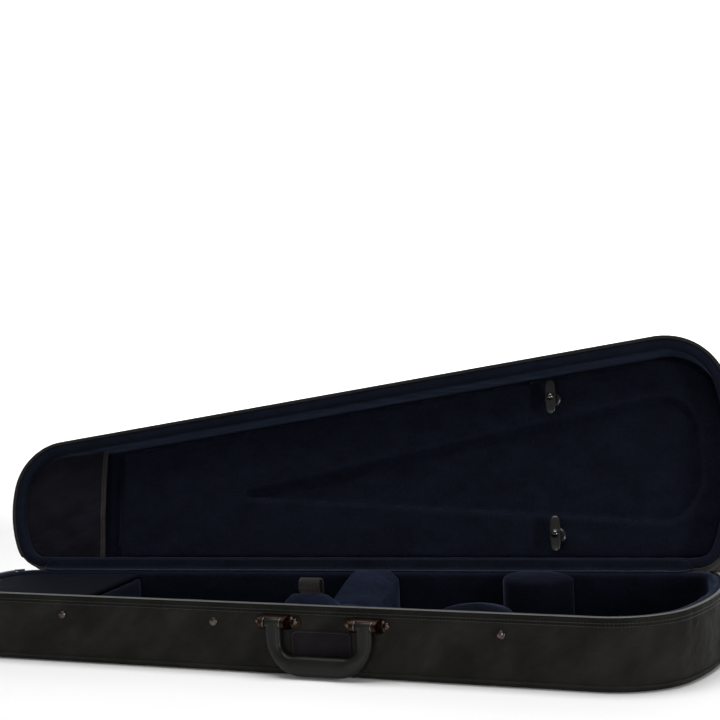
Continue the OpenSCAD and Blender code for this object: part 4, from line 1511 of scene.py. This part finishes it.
for end, centre, end_r, angle in (
    ("narrow", NARROW_END, NARROW_END_R, turn(narrow_corner, NARROW_END) + math.radians(5)),
    ("wide", WIDE_END, WIDE_END_R, turn(wide_corner, WIDE_END) - math.radians(2)),
):
    place = on_end(centre, end_r, angle)
    for what, shape, body, node in (
        ("slider_body", slider_shape(), "base", end + "_zip_slider"),
        ("pull_tab", pull_shape(), end + "_pull", end + "_zip_pull"),
    ):
        piece = metal_piece(end + "_" + what, [(moved(shape[0], place), shape[1])], NICKEL, [node], body)
        bevelled(piece, 0.2 * MM, 2, 40)

# ---- Lid fittings


def recess_outline():
    """The wedge over the strings, with a rounded wide end."""
    points = [(RECESS_TIP, 0.0)]
    for way, start, end in ((-1, -80, 0), (1, 0, 80)):
        for a in np.radians(np.linspace(start, end, 12)):
            points.append((RECESS_END + RECESS_R * math.cos(a),
                           way * (RECESS_HALF_W - RECESS_R) + RECESS_R * math.sin(a)))
    return np.array(points)


def signed_distance(points, polygon):
    """Distance of each point to a closed outline, positive inside."""
    best = np.full(len(points), 1e9)
    inside = np.zeros(len(points), bool)
    for a, b in zip(polygon, np.roll(polygon, -1, axis=0)):
        edge_way = b - a
        t = np.clip(((points - a) @ edge_way) / (edge_way @ edge_way), 0, 1)
        best = np.minimum(best, np.linalg.norm(points - a - t[:, None] * edge_way, axis=1))
        crosses = (a[1] > points[:, 1]) != (b[1] > points[:, 1])
        with np.errstate(divide="ignore", invalid="ignore"):
            hit = a[0] + (points[:, 1] - a[1]) * (b[0] - a[0]) / (b[1] - a[1])
        inside ^= crosses & (points[:, 0] < hit)
    return np.where(inside, best, -best)


def slab_over(use):
    """Faces of a slab over the cells whose four corners are in use, as slab_faces numbers its points."""
    rows, columns = use.shape
    count = rows * columns
    faces = []
    edges = set()
    cells = use[:-1, :-1] & use[1:, :-1] & use[:-1, 1:] & use[1:, 1:]
    for i, j in np.argwhere(cells).tolist():
        near, far = i * columns + j, (i + 1) * columns + j
        quad = (near, far, far + 1, near + 1)
        faces.append(quad)
        faces.append(tuple(v + count for v in reversed(quad)))
        edges.update(zip(quad, quad[1:] + quad[:1]))
    for a, b in sorted(edges):
        if (b, a) not in edges:
            faces.append((b, a, a + count, b + count))
    return faces


def padded_ceiling():
    """The lid's thick pad as a height field: rounded at its rim and round the wedge-shaped recess."""
    cell = 3 * MM
    border = RIM.inset(PANEL_INSET)[::3] @ ON_CENTRE_LINE.T
    border = clipped(border, 0, POCKET_S + 12 * MM, False)
    wedge = recess_outline()

    def gap_at(points):
        """Distance inside the pad, negative outside it."""
        return np.minimum(signed_distance(points, border), -signed_distance(points, wedge))

    low, high = border.min(axis=0) - 2 * cell, border.max(axis=0) + 2 * cell
    across = np.arange(low[0], high[0], cell)
    up = np.arange(low[1], high[1], cell)
    flat = np.stack(np.meshgrid(across, up, indexing="ij"), axis=2).reshape(-1, 2)
    near = 0.55 * cell
    nudge = 0.2 * MM
    for _ in range(2):
        # points close to an edge slide onto it, so that the edge runs clean
        gap = gap_at(flat)
        close = np.abs(gap) < near
        spots = flat[close]
        slope = [gap_at(spots + d) - gap_at(spots - d) for d in np.eye(2) * nudge]
        slope = np.stack(slope, axis=1) / (2 * nudge)
        slope /= np.maximum(np.linalg.norm(slope, axis=1), 0.5)[:, None]
        flat[close] -= slope * gap[close][:, None]
    gap = gap_at(flat)
    gap[np.abs(gap) < 0.1 * MM] = 0
    rise = np.clip(gap / (8 * MM), 0, 1)
    height = PANEL_T * np.sqrt(np.clip(1 - (1 - rise) ** 2, 0, 1))
    soft = waves(flat[:, 0], flat[:, 1], 71, 6, 0.09, 0.07)
    dents = waves(flat[:, 0], flat[:, 1], 72, 6, 0.03, 0.03)
    height += smoothstep(gap, 3 * MM, 20 * MM) * (soft * 0.8 + dents * 0.3) * MM
    top = WALL + np.where(gap >= 0, height, 0.3 * MM * (dents - 0.5))
    count = len(flat)
    use = (signed_distance(flat, border) > -1.5 * cell).reshape(len(across), len(up))
    faces = slab_over(use)
    verts = np.concatenate([np.c_[flat, top], np.c_[flat, np.full(count, WALL - 1.6 * MM)]])
    used = sorted({v for f in faces for v in f})
    index = {v: n for n, v in enumerate(used)}
    faces = [tuple(index[v] for v in f) for f in faces]
    obj = finish_mesh("lid_padded_ceiling", verts[used], faces, PLUSH, "lid", "plush", ["lid_recess_panel"],
                      LID_LINE)


padded_ceiling()


def chord(s, inset):
    """Where the inset outline crosses a line square to the centre line."""
    ring = RIM.inset(inset) @ ON_CENTRE_LINE.T
    following = np.roll(ring, -1, axis=0)
    hit = (ring[:, 0] - s) * (following[:, 0] - s) <= 0
    a, b = ring[hit], following[hit]
    t = (s - a[:, 0]) / np.where(np.abs(b[:, 0] - a[:, 0]) < 1e-9, 1, b[:, 0] - a[:, 0])
    ys = a[:, 1] + (b[:, 1] - a[:, 1]) * t
    return ys.min(), ys.max()


POCKET_INSET = WALL + 0.8 * MM
POCKET_END_S = -CASE_L / 2 + POCKET_INSET + 0.4 * MM
POCKET_T = 1.2 * MM
POCKET_ROWS = 36
POCKET_COLUMNS = 56


def pocket_grid(level):
    """One face of the pocket's cloth: a little full, drawn up to the lid's end and gathered at its mouth."""
    runs = POCKET_S + (POCKET_END_S - POCKET_S) * np.sin(np.linspace(0, TAU / 4, POCKET_ROWS))
    shares = np.linspace(0, 1, POCKET_COLUMNS)
    arch = np.sin(math.pi * shares)
    grid = np.zeros((POCKET_ROWS, POCKET_COLUMNS, 3))
    for i, s in enumerate(runs):
        low, high = chord(s, POCKET_INSET)
        x = np.full(POCKET_COLUMNS, s)
        y = low + (high - low) * shares
        back = (s - POCKET_END_S) / (POCKET_S - POCKET_END_S)
        rise_to_end = 9 * MM * (1 - back) ** 1.6
        full = 3.5 * MM * arch**0.8 * (0.35 + 0.65 * back) * smoothstep(back, 0, 0.35)
        drape = waves(x, y, 81, 5, 0.05, 0.035) * 0.9 * MM * arch
        gather = waves(x, y, 82, 4, 0.03, 0.012) * 0.35 * MM * smoothstep(back, 0.6, 1)
        grid[i] = np.stack([x, y, POCKET_Z + level + rise_to_end + full + drape + gather], axis=1)
    return grid


def pocket_binding(mouth):
    """A folded tape round the pocket's mouth."""
    strip = super_ring(2.6 * MM, 1.05 * MM, 4, 18)
    rings = np.zeros((len(mouth), len(strip), 3))
    rings[:, :, 0] = mouth[:, 0:1] - 2.2 * MM + strip[None, :, 0]
    rings[:, :, 1] = mouth[:, 1:2]
    rings[:, :, 2] = mouth[:, 2:3] + strip[None, :, 1]
    uvs = np.stack([rings[:, :, 1], rings[:, :, 0]], axis=2).reshape(-1, 2)
    faces = tube_faces(len(mouth), len(strip))
    return finish_mesh("pocket_edge_binding", rings.reshape(-1, 3), faces, WEBBING, "lid", "pocket_cloth",
                       ["pocket_binding"], LID_LINE, uvs=uvs)


def pocket_stitches(mouth):
    """Two rows of stitches through the binding."""
    path = lengths_along(mouth)
    centres = at_distances(np.arange(3 * MM, path[-1] - 3 * MM, 2.8 * MM), path, mouth)
    rows = []
    for offset in (-0.9 * MM, -3.6 * MM):
        ways = np.tile([0, 1.0, 0], (len(centres), 1))
        verts, faces = capsules(centres + np.array([offset, 0, 1.08 * MM]), ways, 2.1 * MM, 0.28 * MM)
        rows.append((moved(verts, LID_LINE), faces))
    thread_mesh("pocket_stitches", rows, "lid", "pocket_cloth")


def lid_pocket():
    """A cloth pocket across the lid's narrow end, with its mouth bound and stitched."""
    low_face, high_face = pocket_grid(0), pocket_grid(POCKET_T)
    verts = np.concatenate([low_face.reshape(-1, 3), high_face.reshape(-1, 3)])
    faces = slab_faces(POCKET_ROWS, POCKET_COLUMNS)
    pocket = finish_mesh("lid_pocket_cloth", verts, faces, POCKET_CLOTH, "lid", "pocket_cloth",
                         ["lid_pocket"], LID_LINE, uvs=verts[:, :2])
    mouth = high_face[0] - np.array([0, 0, POCKET_T / 2])
    binding = pocket_binding(mouth)
    pocket_stitches(mouth)
    low, high = chord(POCKET_S, POCKET_INSET)


lid_pocket()

HOLDER_FOOT_Z = WALL + PANEL_T
HOLDER_POST_Z = HOLDER_FOOT_Z + HOLDER_BASE_H + CLEAR
HOLDER_TOP_Z = HOLDER_POST_Z + HOLDER_RISE
SCREW_HEAD_Z = HOLDER_TOP_Z + CLEAR


def bow_holder(place, body, node):
    """A turning bar on a post."""
    low, high = HOLDER_POST_Z, HOLDER_TOP_Z
    post = lathe([(0, low), (HOLDER_POST_R - 0.1 * MM, low), (HOLDER_POST_R, low + 0.4 * MM),
                  (HOLDER_POST_R, high - 2 * MM), (HOLDER_POST_R + 1.1 * MM, high), (0, high)], 32)
    stations = np.linspace(-1, 1, 25)
    sides = 28
    rings = []
    for t in stations:
        end = max(math.sqrt(1 - abs(t) ** 6), 0.05)
        half_w = HOLDER_BAR_W / 2 * end * (1 - 0.12 * t * t)
        half_t = HOLDER_BAR_T / 2 * end
        for p, q in super_ring(half_w, half_t, 3, sides):
            rings.append((p, HOLDER_L / 2 * t, high - HOLDER_BAR_T / 2 + q))
    verts, faces = joined(post, (np.array(rings), tube_faces(len(stations), sides)))
    finish_mesh(body + "_bar", verts, faces, BLACK_GLOSS, body, "black_plastic", [node], place)


def holder_disc():
    """The round foot under a holder."""
    r, low, high = HOLDER_BASE_R, HOLDER_FOOT_Z, HOLDER_FOOT_Z + HOLDER_BASE_H
    return lathe([(0, low - 0.3 * MM), (r - 0.4 * MM, low - 0.3 * MM), (r, low + 0.6 * MM),
                  (r - 0.4 * MM, high - 1 * MM), (r - 3 * MM, high), (0, high)])


def screw_head():
    """A domed head with a round driver hole."""
    r, low, high = SCREW_HEAD_R, SCREW_HEAD_Z, SCREW_HEAD_Z + SCREW_HEAD_H
    return lathe([(0, low - 0.6 * MM), (r - 0.1 * MM, low - 0.6 * MM), (r, low), (0.8 * r, low + 0.9 * MM),
                  (1.2 * MM, high), (0.9 * MM, low + 0.5 * MM), (0, low + 0.5 * MM)], 32)


discs, screws = [], []
for side, way in (("upper", -1), ("lower", 1)):
    place = LID_LINE @ Matrix.Translation((HOLDER_S, way * HOLDER_Y, 0))
    bow_holder(place, side + "_holder", side + "_bow_holder")
    for made, (verts, faces) in ((discs, holder_disc()), (screws, screw_head())):
        made.append((moved(verts, place), flipped(faces)))
verts, faces = joined(*discs)
finish_mesh("holder_base_discs", verts, faces, BLACK_GLOSS, "lid", "black_plastic", ["holder_bases"])
metal_piece("holder_screw_heads", screws, NICKEL, ["holder_screws"], "lid")

# ---- CAD pieces that stay

for name, material in (
    ("base_shell_floor", FOAM),
    ("base_shell_wall", FOAM),
    ("lid_shell_top", FOAM),
    ("lid_shell_wall", FOAM),
    ("zip_stops", NICKEL),
):
    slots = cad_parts[name].data.materials
    slots.clear()
    slots.append(material)

# ---- Studio


# metres: the floor's reach across and in depth, and the bend that carries it up into the backdrop
STUDIO_X = (-9.0, 9.0)
STUDIO_Y = (-6.0, 3.2)
STUDIO_Z = -0.0005
STUDIO_BEND_R = 2.5
STUDIO_TOP = 7.0


def studio():
    """A pale floor that curves up into a backdrop."""
    front, back = STUDIO_Y
    r = STUDIO_BEND_R
    profile = [(front, STUDIO_Z), (back, STUDIO_Z)]
    profile += [(back + r * math.sin(a), r * (1 - math.cos(a))) for a in np.linspace(0.1, TAU / 4, 12)]
    profile += [(back + r, STUDIO_TOP)]
    verts = [(x, y, z) for x in STUDIO_X for y, z in profile]
    count = len(profile)
    mesh = bpy.data.meshes.new("studio_floor")
    mesh.from_pydata(verts, [], [(j, j + count, j + count + 1, j + 1) for j in range(count - 1)])
    mesh.shade_smooth()
    mesh.materials.append(floor_look())
    floor = linked("studio_floor", mesh)


def softbox(name, place, target, width, height, power):
    """A rectangular light that the camera does not see."""
    light = bpy.data.lights.new(name, "AREA")
    light.shape = "RECTANGLE"
    light.size = width
    light.size_y = height
    light.energy = power
    obj = linked(name, light)
    obj.location = place
    obj.rotation_euler = (Vector(target) - Vector(place)).to_track_quat("-Z", "Y").to_euler()
    obj.visible_camera = False


studio()
softbox("key_softbox", (2.3, -1.3, 0.43), (0.05, 0, 0.1), 0.3, 0.8, 26)
softbox("top_softbox", (0.0, 0.1, 2.5), (0, 0, 0), 2.2, 1.4, 56)
softbox("front_softbox", (-0.9, -2.8, 1.1), (0, 0, 0.1), 1.6, 0.8, 3)
softbox("strip_softbox", (0.05, -1.9, 0.25), (-0.05, -0.1, 0.04), 0.1, 0.5, 6)
softbox("backdrop_light", (-1.5, 1.8, 2.8), (-1.9, 5.2, 1.5), 4.0, 1.2, 330)

AIR_LIGHT = 0.26
world = bpy.data.worlds.new("studio_air")
world.use_nodes = True
air = world.node_tree.nodes["Background"]
air.inputs["Color"].default_value = (1, 1, 1, 1)
air.inputs["Strength"].default_value = AIR_LIGHT
bpy.context.scene.world = world
bpy.context.scene.view_settings.view_transform = "Standard"

# ---- Camera

# where it stands, which way it looks (radians), and its lens and sensor (mm)
CAMERA_AT = (0.7014, -1.9306, 0.4185)
CAMERA_PITCH = 0.0640
CAMERA_YAW = -0.3235
CAMERA_ROLL = 0.0516
CAMERA_LENS = 105.5
CAMERA_SENSOR = 36
CAMERA_FAR = 50


def camera():
    """The photograph's view."""
    level = Vector((math.sin(CAMERA_YAW), math.cos(CAMERA_YAW), 0)) * math.cos(CAMERA_PITCH)
    forward = level - Vector((0, 0, math.sin(CAMERA_PITCH)))
    right = Vector((math.cos(CAMERA_YAW), -math.sin(CAMERA_YAW), 0))
    up = right.cross(forward)
    rolled_right = right * math.cos(CAMERA_ROLL) - up * math.sin(CAMERA_ROLL)
    rolled_up = right * math.sin(CAMERA_ROLL) + up * math.cos(CAMERA_ROLL)
    data = bpy.data.cameras.new("camera")
    data.sensor_width = CAMERA_SENSOR
    data.lens = CAMERA_LENS
    data.clip_end = CAMERA_FAR
    obj = linked("camera", data)
    turned = Matrix((rolled_right, rolled_up, -forward)).transposed().to_4x4()
    obj.matrix_world = Matrix.Translation(CAMERA_AT) @ turned
    bpy.context.scene.camera = obj


camera()
